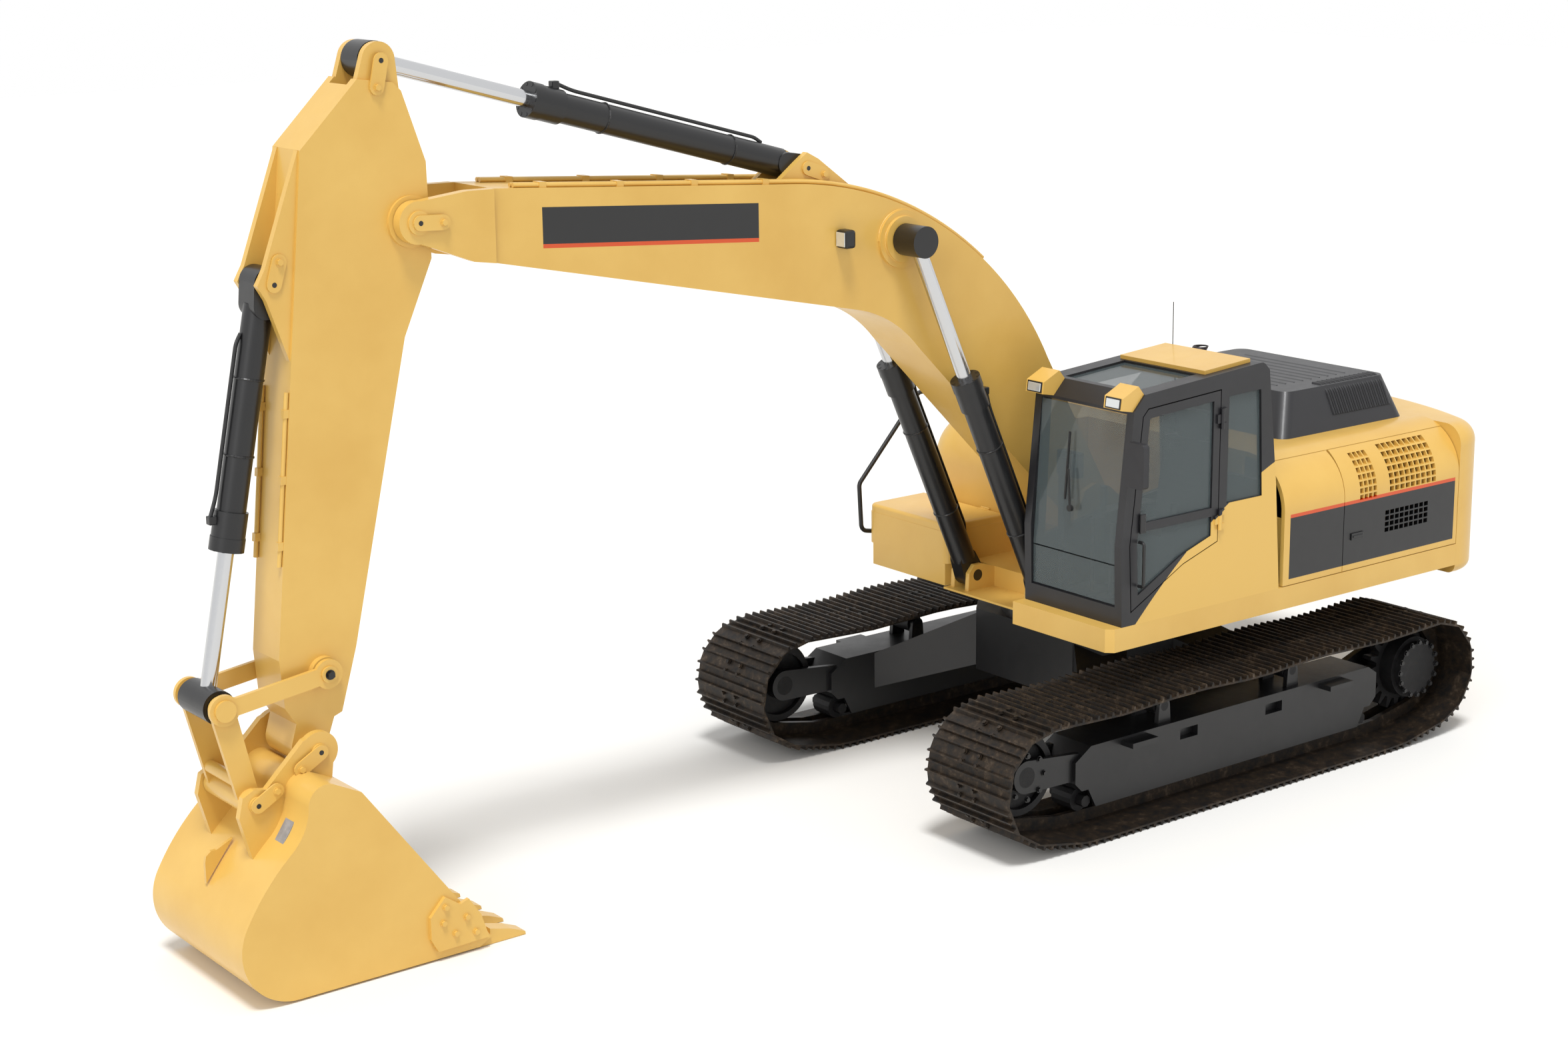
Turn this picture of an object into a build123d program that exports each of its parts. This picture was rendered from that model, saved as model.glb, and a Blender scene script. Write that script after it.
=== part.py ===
from build123d import *
import math
import os

# Crawler excavator with a reach boom, stick and bucket, as separate pieces in millimetres.
# Frame: +X forward along the tracks, +Y to the cab side, +Z up. The origin is on the
# ground under the slew axis, midway between the tracks. Left means +Y, right means -Y.

os.makedirs("parts", exist_ok=True)

# ---------------------------------------------------------------- driving dimensions
SEAT = 0.3                 # gap between a piece and what carries it on a curved seat
PIN_FIT = 0.08             # radial running clearance of a pin in its bore
PASS_GAP = 6.0             # sideways gap between pieces that swing past each other

# Tracks
GAUGE = 2590.0             # between the track centres
SHOE_WIDTH = 800.0
SHOE_COUNT = 49
SHOE_PLATE = 14.0
GROUSER_HEIGHT = 26.0
GROUSER_BASE = 24.0
GROUSER_TIP = 12.0
GROUSER_PITCH = 68.0
PIN_TO_SHOE = 56.0         # from the pin line out to the shoe plate's outer face
RAIL_DEPTH = 45.0          # from the pin line in to the link rail's rolling face
RAIL_INNER_Y = 50.0        # link rails, from the track's centre plane
RAIL_OUTER_Y = 92.0
PIN_RADIUS = 338.0         # of the pin line round the idler and the sprocket
AXLE_HEIGHT = 493.0
IDLER_X = 1907.0
SPROCKET_X = -1931.0
FLAT_FRONT_X = 1525.0      # ends of the stretch of track on the ground
FLAT_REAR_X = -1530.0
BEND_RADIUS = 400.0        # of the track at the ends of that stretch
TRACK_SAG = 22.0           # of the top run between its rollers
CARRIER_COUNT = 2
SPROCKET_TEETH = 21
ROLLER_COUNT = 8
ROLLER_RADIUS = 82.0
CARRIER_RADIUS = 68.0

# Track frames and carbody
FRAME_HALF = 180.0         # half width of a track frame's box
FRAME_BOTTOM = 300.0
FRAME_TOP = 600.0
FRAME_FRONT = 1500.0
FRAME_REAR = -1500.0
GUARD_PLATE = 24.0
GUARD_BOTTOM = 165.0
CARBODY_HALF_X = 620.0
CARBODY_HALF_Y = 660.0
CARBODY_BOTTOM = 520.0
CARBODY_TOP = 985.0
RING_RADIUS = 640.0

# House
HOUSE_BOTTOM = 1190.0
SKIRT_TOP = 1352.0
HOUSE_HALF = 1440.0        # half width of the house
HOUSE_FRONT = 1172.0
TAIL_RADIUS = 3000.0
WEIGHT_DEPTH = 620.0       # of the counterweight on the middle line
HOUSE_REAR = WEIGHT_DEPTH - TAIL_RADIUS    # where the counterweight starts
BODY_TOP = 2262.0          # top of the engine bay's panels
SHOULDER = 380.0           # radius of the rounded shoulder along both sides
PANEL = 32.0               # thickness of doors and body panels
PANEL_GAP = 6.0            # gap round a door
BODY_FRONT = -500.0        # front of the engine bay, behind the cab
DOOR_SPLIT = HOUSE_REAR + 1260.0           # between the engine door and the side panel
HOOD_REAR = HOUSE_REAR + 90.0
HOOD_FRONT = HOOD_REAR + 1330.0
HOOD_LEFT = HOUSE_HALF - 455.0
HOOD_RIGHT = 680.0 - HOUSE_HALF
HOOD_HEIGHT = 300.0
DECK_PLATE = 15.0
DECK_FRONT = 940.0         # front edge of the plate that carries the boom cylinders

# Cab
CAB_RIGHT = 500.0
CAB_WALL = 45.0
CAB_REAR = -400.0
CAB_ROOF = 2985.0
GLASS = 6.0

# Arm: pin centres in the plane y = 0, as (x, z)
BOOM_FOOT = (190.0, 1810.0)
BOOM_TIP = (5570.0, 4345.0)
BOOM_CYL_FOOT = (800.0, 1312.0)
BOOM_CYL_EYE = (1960.0, 3910.0)
STICK_CYL_FOOT = (2655.0, 4418.0)
STICK_CYL_EYE = (5715.0, 5266.0)
BUCKET_CYL_FOOT = (6445.0, 4067.0)
IDLER_PIN = (6285.0, 1787.0)
LINK_PIN = (6949.0, 1700.0)
BUCKET_LINK_PIN = (6816.0, 1122.0)
BUCKET_PIN = (6402.0, 1354.0)

BOOM_HALF = 235.0
BOOM_BOSS = 190.0          # radius of the boom's foot
BOOM_CYL_Y = 388.0         # of a boom cylinder's centre line
STICK_HALF = 165.0
EAR = 45.0                 # thickness of the stick's and boom's ears
EYE_HALF = 95.0            # half width of the stick and bucket cylinders' eyes
# the linkage's layers, from the stick's side outwards
POWER_LINK_INNER = STICK_HALF + PASS_GAP
POWER_LINK_PLATE = 34.0
IDLER_INNER = POWER_LINK_INNER + POWER_LINK_PLATE + PASS_GAP
IDLER_PLATE = 29.0
TIP_HALF = IDLER_INNER + IDLER_PLATE           # half width between the bucket's ears
BUCKET_EAR = 46.0
ROD_EYE_HALF = POWER_LINK_INNER - PASS_GAP     # half width of the bucket cylinder's rod eye
BUCKET_HALF = 590.0
PIN_R = 50.0


# ---------------------------------------------------------------- helpers
def side_plane(y):
    """Upright plane across the machine at y: sketch x is +X and sketch y is +Z."""
    return Plane.XZ.offset(-y)


def polar(centre, radius, degrees):
    """Point at a radius and angle from a centre, both as (x, z)."""
    a = math.radians(degrees)
    return (centre[0] + radius * math.cos(a), centre[1] + radius * math.sin(a))


def heading(a, b):
    """Angle in degrees of the line from a to b."""
    return math.degrees(math.atan2(b[1] - a[1], b[0] - a[0]))


def distance(a, b):
    return math.hypot(b[0] - a[0], b[1] - a[1])


def save(piece, name):
    """Label a finished piece and write it."""
    piece.label = name
    export_step(piece, "parts/" + name + ".step")


def plate(outline, y_low, y_high, mode=Mode.ADD):
    """Flat plate across y with a straight-edged outline in (x, z)."""
    with BuildSketch(side_plane(y_high)) as face:
        with BuildLine():
            Polyline(*outline, close=True)
        make_face()
    extrude(face.sketch, amount=y_high - y_low, mode=mode)


def disc(centre, radius, y_low, y_high, mode=Mode.ADD):
    """Round bar or hole along y."""
    with BuildSketch(side_plane(y_high)) as face:
        with Locations(centre):
            Circle(radius)
    extrude(face.sketch, amount=y_high - y_low, mode=mode)


def roll(centre, radius, y_low, y_high, sides=16):
    """Wheel along y with flat facets, for the many small ones inside the tracks."""
    with BuildSketch(side_plane(y_high)) as face:
        with Locations(centre):
            RegularPolygon(radius, sides, major_radius=False, rotation=180 / sides)
    extrude(face.sketch, amount=y_high - y_low)


def strap(a, ra, b, rb, y_low, y_high, mode=Mode.ADD):
    """Link plate: two round ends joined by their outer tangents."""
    with BuildSketch(side_plane(y_high)) as face:
        with Locations(a):
            Circle(ra)
        with Locations(b):
            Circle(rb)
        make_hull()
    extrude(face.sketch, amount=y_high - y_low, mode=mode)


def bar_plane(foot, eye, y, along=0.0):
    """Plane square to the line foot-eye, at a distance along it."""
    a = math.radians(heading(foot, eye))
    x, z = polar(foot, along, heading(foot, eye))
    return Plane(origin=(x, y, z), x_dir=(0, 1, 0), z_dir=(math.cos(a), 0, math.sin(a)))


def round_bar(foot, eye, y, start, length, radius, mode=Mode.ADD):
    """Round bar along the line foot-eye, from start on, measured from the foot."""
    with BuildSketch(bar_plane(foot, eye, y, start)) as face:
        Circle(radius)
    extrude(face.sketch, amount=length, mode=mode)


# ---------------------------------------------------------------- track's pin line
PIN_HEIGHT = GROUSER_HEIGHT + PIN_TO_SHOE      # of the pin line above the ground
BELT = (
    # x, z, radius of the arcs that the pin line runs round
    (FLAT_REAR_X, PIN_HEIGHT + BEND_RADIUS, BEND_RADIUS),
    (FLAT_FRONT_X, PIN_HEIGHT + BEND_RADIUS, BEND_RADIUS),
    (IDLER_X, AXLE_HEIGHT, PIN_RADIUS),
    (SPROCKET_X, AXLE_HEIGHT, PIN_RADIUS),
)


def belt_runs():
    """Runs of the pin line: circle, heading at its start, turn, then a straight and its heading."""
    lines = []
    for i, (x, z, r) in enumerate(BELT):
        nx, nz, nr = BELT[(i + 1) % len(BELT)]
        d = math.hypot(nx - x, nz - z)
        swing = math.asin((r - nr) / d)
        lines.append((math.atan2(nz - z, nx - x) + swing, d * math.cos(swing)))
    runs = []
    for i, circle in enumerate(BELT):
        start = lines[i - 1][0]
        turn = (lines[i][0] - start) % (2 * math.pi)
        runs.append((circle, start, turn, lines[i][1], lines[i][0]))
    return runs


RUNS = belt_runs()
BELT_LENGTH = sum(circle[2] * turn + line for circle, start, turn, line, end in RUNS)
SHOE_PITCH = BELT_LENGTH / SHOE_COUNT
TOP_RUN = 2                # index of the run from the idler back to the sprocket


def belt_point(s):
    """Point of the pin line at arc length s, anticlockwise seen from the right."""
    s = s % BELT_LENGTH
    for i, ((x, z, r), start, turn, line, end) in enumerate(RUNS):
        if s <= r * turn:
            a = start + s / r
            return (x + r * math.sin(a), z - r * math.cos(a))
        s -= r * turn
        if s <= line:
            sag = 0.0
            if i == TOP_RUN:
                sag = TRACK_SAG * (1 - math.cos(2 * math.pi * (CARRIER_COUNT + 1) * s / line)) / 2
            along = (r * math.sin(end) + s * math.cos(end), s * math.sin(end) - r * math.cos(end))
            return (x + along[0], z + along[1] - sag)
        s -= line


PINS = [belt_point(i * SHOE_PITCH) for i in range(SHOE_COUNT)]


def shoe_frame(i):
    """Middle, direction and outward normal of shoe i."""
    a = PINS[i]
    b = PINS[(i + 1) % SHOE_COUNT]
    d = distance(a, b)
    t = ((b[0] - a[0]) / d, (b[1] - a[1]) / d)
    return ((a[0] + b[0]) / 2, (a[1] + b[1]) / 2), t, (t[1], -t[0])


def grouser_outline():
    """Outer outline of the whole loop, with three grousers on every shoe."""
    points = []
    ridge = (
        # along the shoe from the grouser's middle, height over the plate
        (-GROUSER_BASE / 2, 0.0),
        (-GROUSER_TIP / 2, GROUSER_HEIGHT),
        (GROUSER_TIP / 2, GROUSER_HEIGHT),
        (GROUSER_BASE / 2, 0.0),
    )
    for i in range(SHOE_COUNT):
        middle, t, n = shoe_frame(i)
        for g in (-GROUSER_PITCH, 0.0, GROUSER_PITCH):
            for along, height in ridge:
                u = g + along
                h = PIN_TO_SHOE + height
                points.append((middle[0] + t[0] * u + n[0] * h, middle[1] + t[1] * u + n[1] * h))
    return points


def offset_outline(h):
    """Outline at height h over the pin line, with a corner only where the loop turns."""
    points = []
    turned = 0.0
    for i in range(SHOE_COUNT):
        t0 = shoe_frame(i - 1)[1]
        t1 = shoe_frame(i)[1]
        turn = math.atan2(t0[0] * t1[1] - t0[1] * t1[0], t0[0] * t1[0] + t0[1] * t1[1])
        turned += turn
        if abs(turned) > 0.03:
            n = (t0[1] + t1[1], -(t0[0] + t1[0]))
            scale = 2.0 * h / (n[0] ** 2 + n[1] ** 2)
            points.append((PINS[i][0] + n[0] * scale, PINS[i][1] + n[1] * scale))
            turned = 0.0
    return points


# ---------------------------------------------------------------- undercarriage
for side, name in ((1, "track_left"), (-1, "track_right")):
    y = side * GAUGE / 2
    with BuildPart() as track:
        plate(grouser_outline(), y - SHOE_WIDTH / 2, y + SHOE_WIDTH / 2)
        plate(offset_outline(PIN_TO_SHOE - SHOE_PLATE), y - SHOE_WIDTH / 2, y + SHOE_WIDTH / 2, Mode.SUBTRACT)
        for low in (-RAIL_OUTER_Y, RAIL_INNER_Y):
            with BuildSketch(side_plane(y + low + RAIL_OUTER_Y - RAIL_INNER_Y)):
                with BuildLine():
                    Polyline(*offset_outline(PIN_TO_SHOE - SHOE_PLATE), close=True)
                make_face()
                with BuildLine():
                    Polyline(*offset_outline(-RAIL_DEPTH), close=True)
                make_face(mode=Mode.SUBTRACT)
            extrude(amount=RAIL_OUTER_Y - RAIL_INNER_Y)
    save(track.part, name)

HALF_ANGLE = math.asin(SHOE_PITCH / 2 / PIN_RADIUS)
WHEEL_RADIUS = PIN_RADIUS * math.cos(HALF_ANGLE) - RAIL_DEPTH - 2 * SEAT
HUB_RADIUS = 70.0
YOKE_Y = 108.0             # inner face of the idler yokes, from the track's centre
YOKE_PLATE = 40.0
YOKE_ROOT = 92.0
YOKE_END = 112.0

with BuildPart() as idlers:
    for side in (1, -1):
        y = side * GAUGE / 2
        centre = (IDLER_X, AXLE_HEIGHT)
        disc(centre, WHEEL_RADIUS, y - RAIL_OUTER_Y, y + RAIL_OUTER_Y)
        disc(centre, WHEEL_RADIUS + 24, y - RAIL_INNER_Y + 8, y + RAIL_INNER_Y - 8)
        disc(centre, HUB_RADIUS, y - YOKE_Y - YOKE_PLATE, y + YOKE_Y + YOKE_PLATE)
        for low, high in ((RAIL_INNER_Y, RAIL_OUTER_Y), (-RAIL_OUTER_Y, -RAIL_INNER_Y)):
            with BuildSketch(side_plane(y + high)):
                with Locations(centre):
                    Circle(WHEEL_RADIUS - 45)
                    Circle(HUB_RADIUS + 40, mode=Mode.SUBTRACT)
            extrude(amount=high - low, mode=Mode.SUBTRACT)
save(idlers.part, "idlers")

SPROCKET_TIP = PIN_RADIUS + 4
SPROCKET_ROOT = WHEEL_RADIUS - 12
FINAL_DRIVE_RADIUS = 228.0
FINAL_DRIVE_Y = 205.0      # outer face of the final drive, from the track's centre
MOTOR_PLATE_Y = 130.0

with BuildPart() as sprockets:
    for side in (1, -1):
        y = side * GAUGE / 2
        centre = (SPROCKET_X, AXLE_HEIGHT)
        disc(centre, SPROCKET_ROOT, y - 38, y + 38)
        with BuildSketch(side_plane(y + 38)):
            with Locations(centre):
                with PolarLocations(SPROCKET_ROOT + (SPROCKET_TIP - SPROCKET_ROOT) / 2 - 4, SPROCKET_TEETH):
                    Trapezoid(56, SPROCKET_TIP - SPROCKET_ROOT + 8, 79, rotation=-90)
        extrude(amount=76)
        disc(centre, FINAL_DRIVE_RADIUS, min(y + side * 38, y + side * 150), max(y + side * 38, y + side * 150))
        disc(centre, FINAL_DRIVE_RADIUS - 35, min(y + side * 150, y + side * FINAL_DRIVE_Y),
             max(y + side * 150, y + side * FINAL_DRIVE_Y))
        disc(centre, 175, min(y - side * 38, y - side * MOTOR_PLATE_Y), max(y - side * 38, y - side * MOTOR_PLATE_Y))
save(sprockets.part, "drive_sprockets")

ROLLER_Z = PIN_HEIGHT + RAIL_DEPTH + SEAT + ROLLER_RADIUS
ROLLER_SPAN = 2 * (FLAT_FRONT_X - 145)
CARRIER_Z = AXLE_HEIGHT + PIN_RADIUS - RAIL_DEPTH - CARRIER_RADIUS - 3
ROLLER_XS = [ROLLER_SPAN * (i / (ROLLER_COUNT - 1) - 0.5) for i in range(ROLLER_COUNT)]
TOP_LENGTH = IDLER_X - SPROCKET_X
CARRIER_XS = [SPROCKET_X + TOP_LENGTH * (i + 1) / (CARRIER_COUNT + 1) for i in range(CARRIER_COUNT)]
GUARD_Y = FRAME_HALF - GUARD_PLATE
CARRIER_BRACKET_Y = 60.0   # the carrier rollers' axle runs in a bracket on the frame's middle

with BuildPart() as rollers:
    for side in (1, -1):
        y = side * GAUGE / 2
        for x in ROLLER_XS:
            roll((x, ROLLER_Z), ROLLER_RADIUS, y - RAIL_OUTER_Y, y + RAIL_OUTER_Y)
            roll((x, ROLLER_Z), 38, y - GUARD_Y, y + GUARD_Y, 8)
        for x in CARRIER_XS:
            disc((x, CARRIER_Z), CARRIER_RADIUS, y - RAIL_OUTER_Y, y + RAIL_OUTER_Y)
            disc((x, CARRIER_Z), 34, y - RAIL_OUTER_Y - 40, y + RAIL_OUTER_Y + 40)
save(rollers.part, "track_rollers")

FRAME_POCKETS = ((435.0, 500.0), (-412.0, 500.0))      # x, z of the openings in a frame's outer face
POCKET = (170.0, 76.0, 60.0)       # their length, height and depth
FRAME_STEPS = (960.0, -1000.0)     # x of the climbing steps
STEP = (240.0, 110.0, 36.0)        # their length, depth and height
BOX_PROFILE = (
    # x, z of the track frame's box seen from the side
    (FRAME_REAR, FRAME_BOTTOM + 60),
    (FRAME_REAR + 60, FRAME_BOTTOM),
    (FRAME_FRONT - 60, FRAME_BOTTOM),
    (FRAME_FRONT, FRAME_BOTTOM + 60),
    (FRAME_FRONT, FRAME_TOP - 90),
    (FRAME_FRONT - 140, FRAME_TOP),
    (FRAME_REAR + 90, FRAME_TOP),
    (FRAME_REAR, FRAME_TOP - 60),
)
GUARD_PROFILE = (
    (FRAME_REAR + 120, FRAME_BOTTOM),
    (FRAME_REAR + 190, GUARD_BOTTOM),
    (FRAME_FRONT - 190, GUARD_BOTTOM),
    (FRAME_FRONT - 120, FRAME_BOTTOM),
)
DRIVE_PROFILE = (
    (FRAME_REAR, FRAME_BOTTOM + 60),
    (FRAME_REAR, FRAME_TOP - 60),
    (SPROCKET_X, AXLE_HEIGHT + 185),
    (SPROCKET_X - 120, AXLE_HEIGHT + 140),
    (SPROCKET_X - 185, AXLE_HEIGHT),
    (SPROCKET_X - 120, AXLE_HEIGHT - 140),
    (SPROCKET_X, AXLE_HEIGHT - 185),
)

for side, name in ((1, "track_frame_left"), (-1, "track_frame_right")):
    y = side * GAUGE / 2
    with BuildPart() as track_frame:
        plate(BOX_PROFILE, y - FRAME_HALF, y + FRAME_HALF)
        for low in (-FRAME_HALF, GUARD_Y):
            plate(GUARD_PROFILE, y + low, y + low + GUARD_PLATE)
        for low in (-YOKE_Y - YOKE_PLATE, YOKE_Y):
            strap((FRAME_FRONT - 70, AXLE_HEIGHT - 30), YOKE_ROOT, (IDLER_X, AXLE_HEIGHT), YOKE_END, y + low,
                  y + low + YOKE_PLATE)
            disc((IDLER_X, AXLE_HEIGHT), HUB_RADIUS + PIN_FIT, y + low, y + low + YOKE_PLATE, Mode.SUBTRACT)
        face_y = y + side * FRAME_HALF
        for x, z in FRAME_POCKETS:
            with Locations((x, face_y, z)):
                Box(POCKET[0], 2 * POCKET[2], POCKET[1], mode=Mode.SUBTRACT)
        for x in FRAME_STEPS:
            with Locations((x, face_y + side * STEP[1] / 2, FRAME_TOP - STEP[2])):
                Box(STEP[0], STEP[1], STEP[2])
        drive = sorted((y - side * MOTOR_PLATE_Y, y - side * FRAME_HALF))
        plate(DRIVE_PROFILE, drive[0], drive[1])
        for x in ROLLER_XS:
            disc((x, ROLLER_Z), 38 + PIN_FIT, y - GUARD_Y, y + GUARD_Y, Mode.SUBTRACT)
        for x in CARRIER_XS:
            for low in (-RAIL_OUTER_Y - 40, RAIL_OUTER_Y + 4):
                strap((x, CARRIER_Z), 50, (x, FRAME_TOP - 10), 60, y + low, y + low + 36)
                disc((x, CARRIER_Z), 34 + PIN_FIT, y + low, y + low + 36, Mode.SUBTRACT)
    save(track_frame.part, name)

LEG_END_X = 880.0          # middle of a leg where it meets the track frame
with BuildPart() as carbody:
    with BuildSketch(Plane.XY.offset(CARBODY_BOTTOM)):
        Rectangle(2 * CARBODY_HALF_X, 2 * CARBODY_HALF_Y)
        chamfer(vertices(), 150)
    extrude(amount=CARBODY_TOP - CARBODY_BOTTOM)
    with BuildSketch(Plane.XY.offset(CARBODY_TOP)):
        Circle(RING_RADIUS - 20)
    extrude(amount=75)
    for sx in (1, -1):
        for sy in (1, -1):
            inner = Plane.XZ.offset(-sy * (CARBODY_HALF_Y - 170))
            outer = Plane.XZ.offset(-sy * (GAUGE / 2 - FRAME_HALF))
            with BuildSketch(inner) as leg_root:
                with Locations((sx * 330, 760)):
                    Rectangle(520, 400)
            with BuildSketch(outer) as leg_foot:
                with Locations((sx * LEG_END_X, 455)):
                    Rectangle(420, 270)
            loft(ruled=True)
save(carbody.part, "carbody")

RING_BOTTOM = CARBODY_TOP + 75
with BuildPart() as slew_ring:
    with BuildSketch(Plane.XY.offset(RING_BOTTOM)):
        Circle(RING_RADIUS)
        Circle(RING_RADIUS - 190, mode=Mode.SUBTRACT)
    extrude(amount=HOUSE_BOTTOM - RING_BOTTOM - SEAT)
    with BuildSketch(Plane.XY.offset(RING_BOTTOM + 48)):
        Circle(RING_RADIUS)
        Circle(RING_RADIUS - 14, mode=Mode.SUBTRACT)
    extrude(amount=16, mode=Mode.SUBTRACT)
save(slew_ring.part, "slew_ring")

# ---------------------------------------------------------------- house frame
BRACKET_INNER = BOOM_HALF + PASS_GAP
BRACKET_PLATE = 42.0
EAR_GAP = 58.0             # half width of a boom cylinder's foot
CYL_EAR = 38.0
SKIRT_CORNER = 46.0
DECK_STEP = 640.0          # front of the deep frame between cab and toolbox
DECK_SLOT_Y = BOOM_CYL_Y + EAR_GAP + CYL_EAR + PASS_GAP
DECK_OUTLINE = (
    # x, y of the house frame seen from above
    (HOUSE_REAR, HOUSE_HALF),
    (HOUSE_FRONT - SKIRT_CORNER, HOUSE_HALF),
    (HOUSE_FRONT, HOUSE_HALF - SKIRT_CORNER),
    (HOUSE_FRONT, DECK_SLOT_Y),
    (DECK_STEP, DECK_SLOT_Y),
    (DECK_STEP, -CAB_RIGHT - 30),
    (880, -CAB_RIGHT - 60),
    (880, -HOUSE_HALF + 60),
    (820, -HOUSE_HALF),
    (HOUSE_REAR, -HOUSE_HALF),
)
POST_WIDTH = 30.0
POST_DEPTH = 120.0
POST_HEIGHT = 480.0
FOOT_PIN_R = 62.0          # pin of the boom's foot
DOOR_POSTS = (
    # x of the post's middle, side
    (HOUSE_REAR + 24, 1),
    (DOOR_SPLIT - 34, 1),
    (DOOR_SPLIT + 24, 1),
    (BODY_FRONT - 30, 1),
    (HOUSE_REAR + 24, -1),
    (DOOR_SPLIT - 34, -1),
)
BRACKET_PROFILE = (
    (-480, SKIRT_TOP),
    (430, SKIRT_TOP),
    (395, 1560),
    (370, BOOM_FOOT[1]),
    (300, BOOM_FOOT[1] + 150),
    (190, BOOM_FOOT[1] + 190),
    (60, BOOM_FOOT[1] + 150),
    (-480, 1500),
)

with BuildPart() as house_frame:
    with BuildSketch(Plane.XY.offset(HOUSE_BOTTOM)):
        with BuildLine():
            Polyline(*DECK_OUTLINE, close=True)
        make_face()
    extrude(amount=SKIRT_TOP - HOUSE_BOTTOM)
    with BuildSketch(Plane.XY.offset(HOUSE_BOTTOM)):
        with Locations(((DECK_STEP + DECK_FRONT) / 2, 0)):
            Rectangle(DECK_FRONT - DECK_STEP, 2 * CAB_RIGHT + 10)
    extrude(amount=DECK_PLATE)
    for low in (BRACKET_INNER, -BRACKET_INNER - BRACKET_PLATE):
        plate(BRACKET_PROFILE, low, low + BRACKET_PLATE)
        disc(BOOM_FOOT, FOOT_PIN_R + PIN_FIT, low, low + BRACKET_PLATE, Mode.SUBTRACT)
    # posts behind the doors and the side panel
    for x, side in DOOR_POSTS:
        with Locations((x, side * (HOUSE_HALF - PANEL - SEAT - POST_DEPTH / 2), SKIRT_TOP + POST_HEIGHT / 2)):
            Box(POST_WIDTH, POST_DEPTH, POST_HEIGHT)
    for y in (BOOM_CYL_Y, -BOOM_CYL_Y):
        for low in (y - EAR_GAP - CYL_EAR - SEAT, y + EAR_GAP + SEAT):
            plate(((DECK_STEP, HOUSE_BOTTOM), (BOOM_CYL_FOOT[0] + 90, HOUSE_BOTTOM),
                   (BOOM_CYL_FOOT[0] + 82, BOOM_CYL_FOOT[1] + 20), (BOOM_CYL_FOOT[0] + 30, BOOM_CYL_FOOT[1] + 80),
                   (BOOM_CYL_FOOT[0] - 40, BOOM_CYL_FOOT[1] + 78), (DECK_STEP, SKIRT_TOP)), low, low + CYL_EAR)
            disc(BOOM_CYL_FOOT, PIN_R - 8 + PIN_FIT, low, low + CYL_EAR, Mode.SUBTRACT)
save(house_frame.part, "house_frame")

# ---------------------------------------------------------------- engine bay and body panels
def body_section(inset, low, top_inset=None):
    """Closed half-section of the body in (y, z), left side, with its rounded shoulder."""
    drop = inset if top_inset is None else top_inset
    half = HOUSE_HALF - inset
    top = BODY_TOP - drop
    radius = SHOULDER - inset
    with BuildSketch(Plane.YZ) as section:
        with BuildLine():
            Polyline((0, low), (half, low), (half, top - radius))
            RadiusArc((half, top - radius), (half - radius, top), -radius)
            Polyline((half - radius, top), (0, top), (0, low))
        make_face()
    return section.sketch


def body_skin(side):
    """Flat sketch of the body's wall on one side, as thick as a panel."""
    outer = body_section(0, SKIRT_TOP + PANEL_GAP)
    inner = body_section(PANEL, SKIRT_TOP - 10)
    wall = (outer - inner).face()
    return wall if side > 0 else wall.mirror(Plane.XZ)


def skin_piece(side, x_low, x_high, y_edge):
    """Door of the body between two seams, from the skirt up to the seam on its shoulder."""
    with BuildPart() as panel:
        extrude(Pos(x_low, 0, 0) * body_skin(side), amount=x_high - x_low, dir=(1, 0, 0))
        with Locations(((x_low + x_high) / 2, side * y_edge / 2, BODY_TOP)):
            Box(x_high - x_low + 2, y_edge, 2 * SHOULDER, mode=Mode.SUBTRACT)
    return panel.part


TOP_SEAM = HOUSE_HALF - 190.0              # the doors' upper edge, from the middle
DOOR_REAR = HOUSE_REAR
HINGE_OUT = 22.0           # of the doors' hinge lines from the house's side
GRILLES = (
    # x, z of the middle, width, height, openings each way of a door's mesh windows
    (DOOR_SPLIT - 255, 2015, 190, 330, 4, 7),
    (DOOR_SPLIT - 740, 2030, 520, 330, 9, 7),
    (DOOR_SPLIT - 680, 1655, 480, 170, 9, 4),
)
MESH_BAR = 11.0


def mesh_cut(x, z, width, height, columns, rows, side):
    """Openings of a mesh window through a panel's upright wall and shoulder."""
    step_x = width / columns
    step_z = height / rows
    with BuildSketch(side_plane(side * (HOUSE_HALF + 10) if side > 0 else -HOUSE_HALF + 420)) as holes:
        with Locations((x, z)):
            with GridLocations(step_x, step_z, round(columns), round(rows)):
                Rectangle(step_x - MESH_BAR, step_z - MESH_BAR)
    extrude(holes.sketch, amount=430, mode=Mode.SUBTRACT)


def door_swing(side, edge):
    """Everything that a door's hinge lets pass its front edge."""
    with Locations((DOOR_REAR + PANEL_GAP, side * (HOUSE_HALF + HINGE_OUT), (SKIRT_TOP + BODY_TOP) / 2)):
        Cylinder(edge - DOOR_REAR - PANEL_GAP, BODY_TOP, mode=Mode.INTERSECT)


with BuildPart() as side_panel:
    add(skin_piece(1, DOOR_SPLIT + PANEL_GAP / 2, BODY_FRONT, TOP_SEAM))
save(side_panel.part, "side_panel_left")

with BuildPart() as engine_door:
    add(skin_piece(1, DOOR_REAR + PANEL_GAP, DOOR_SPLIT - PANEL_GAP / 2, TOP_SEAM))
    door_swing(1, DOOR_SPLIT - PANEL_GAP / 2)
    for x, z, width, height, columns, rows in GRILLES:
        mesh_cut(x, z, width, height, columns, rows, 1)
save(engine_door.part, "engine_door_left")

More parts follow.
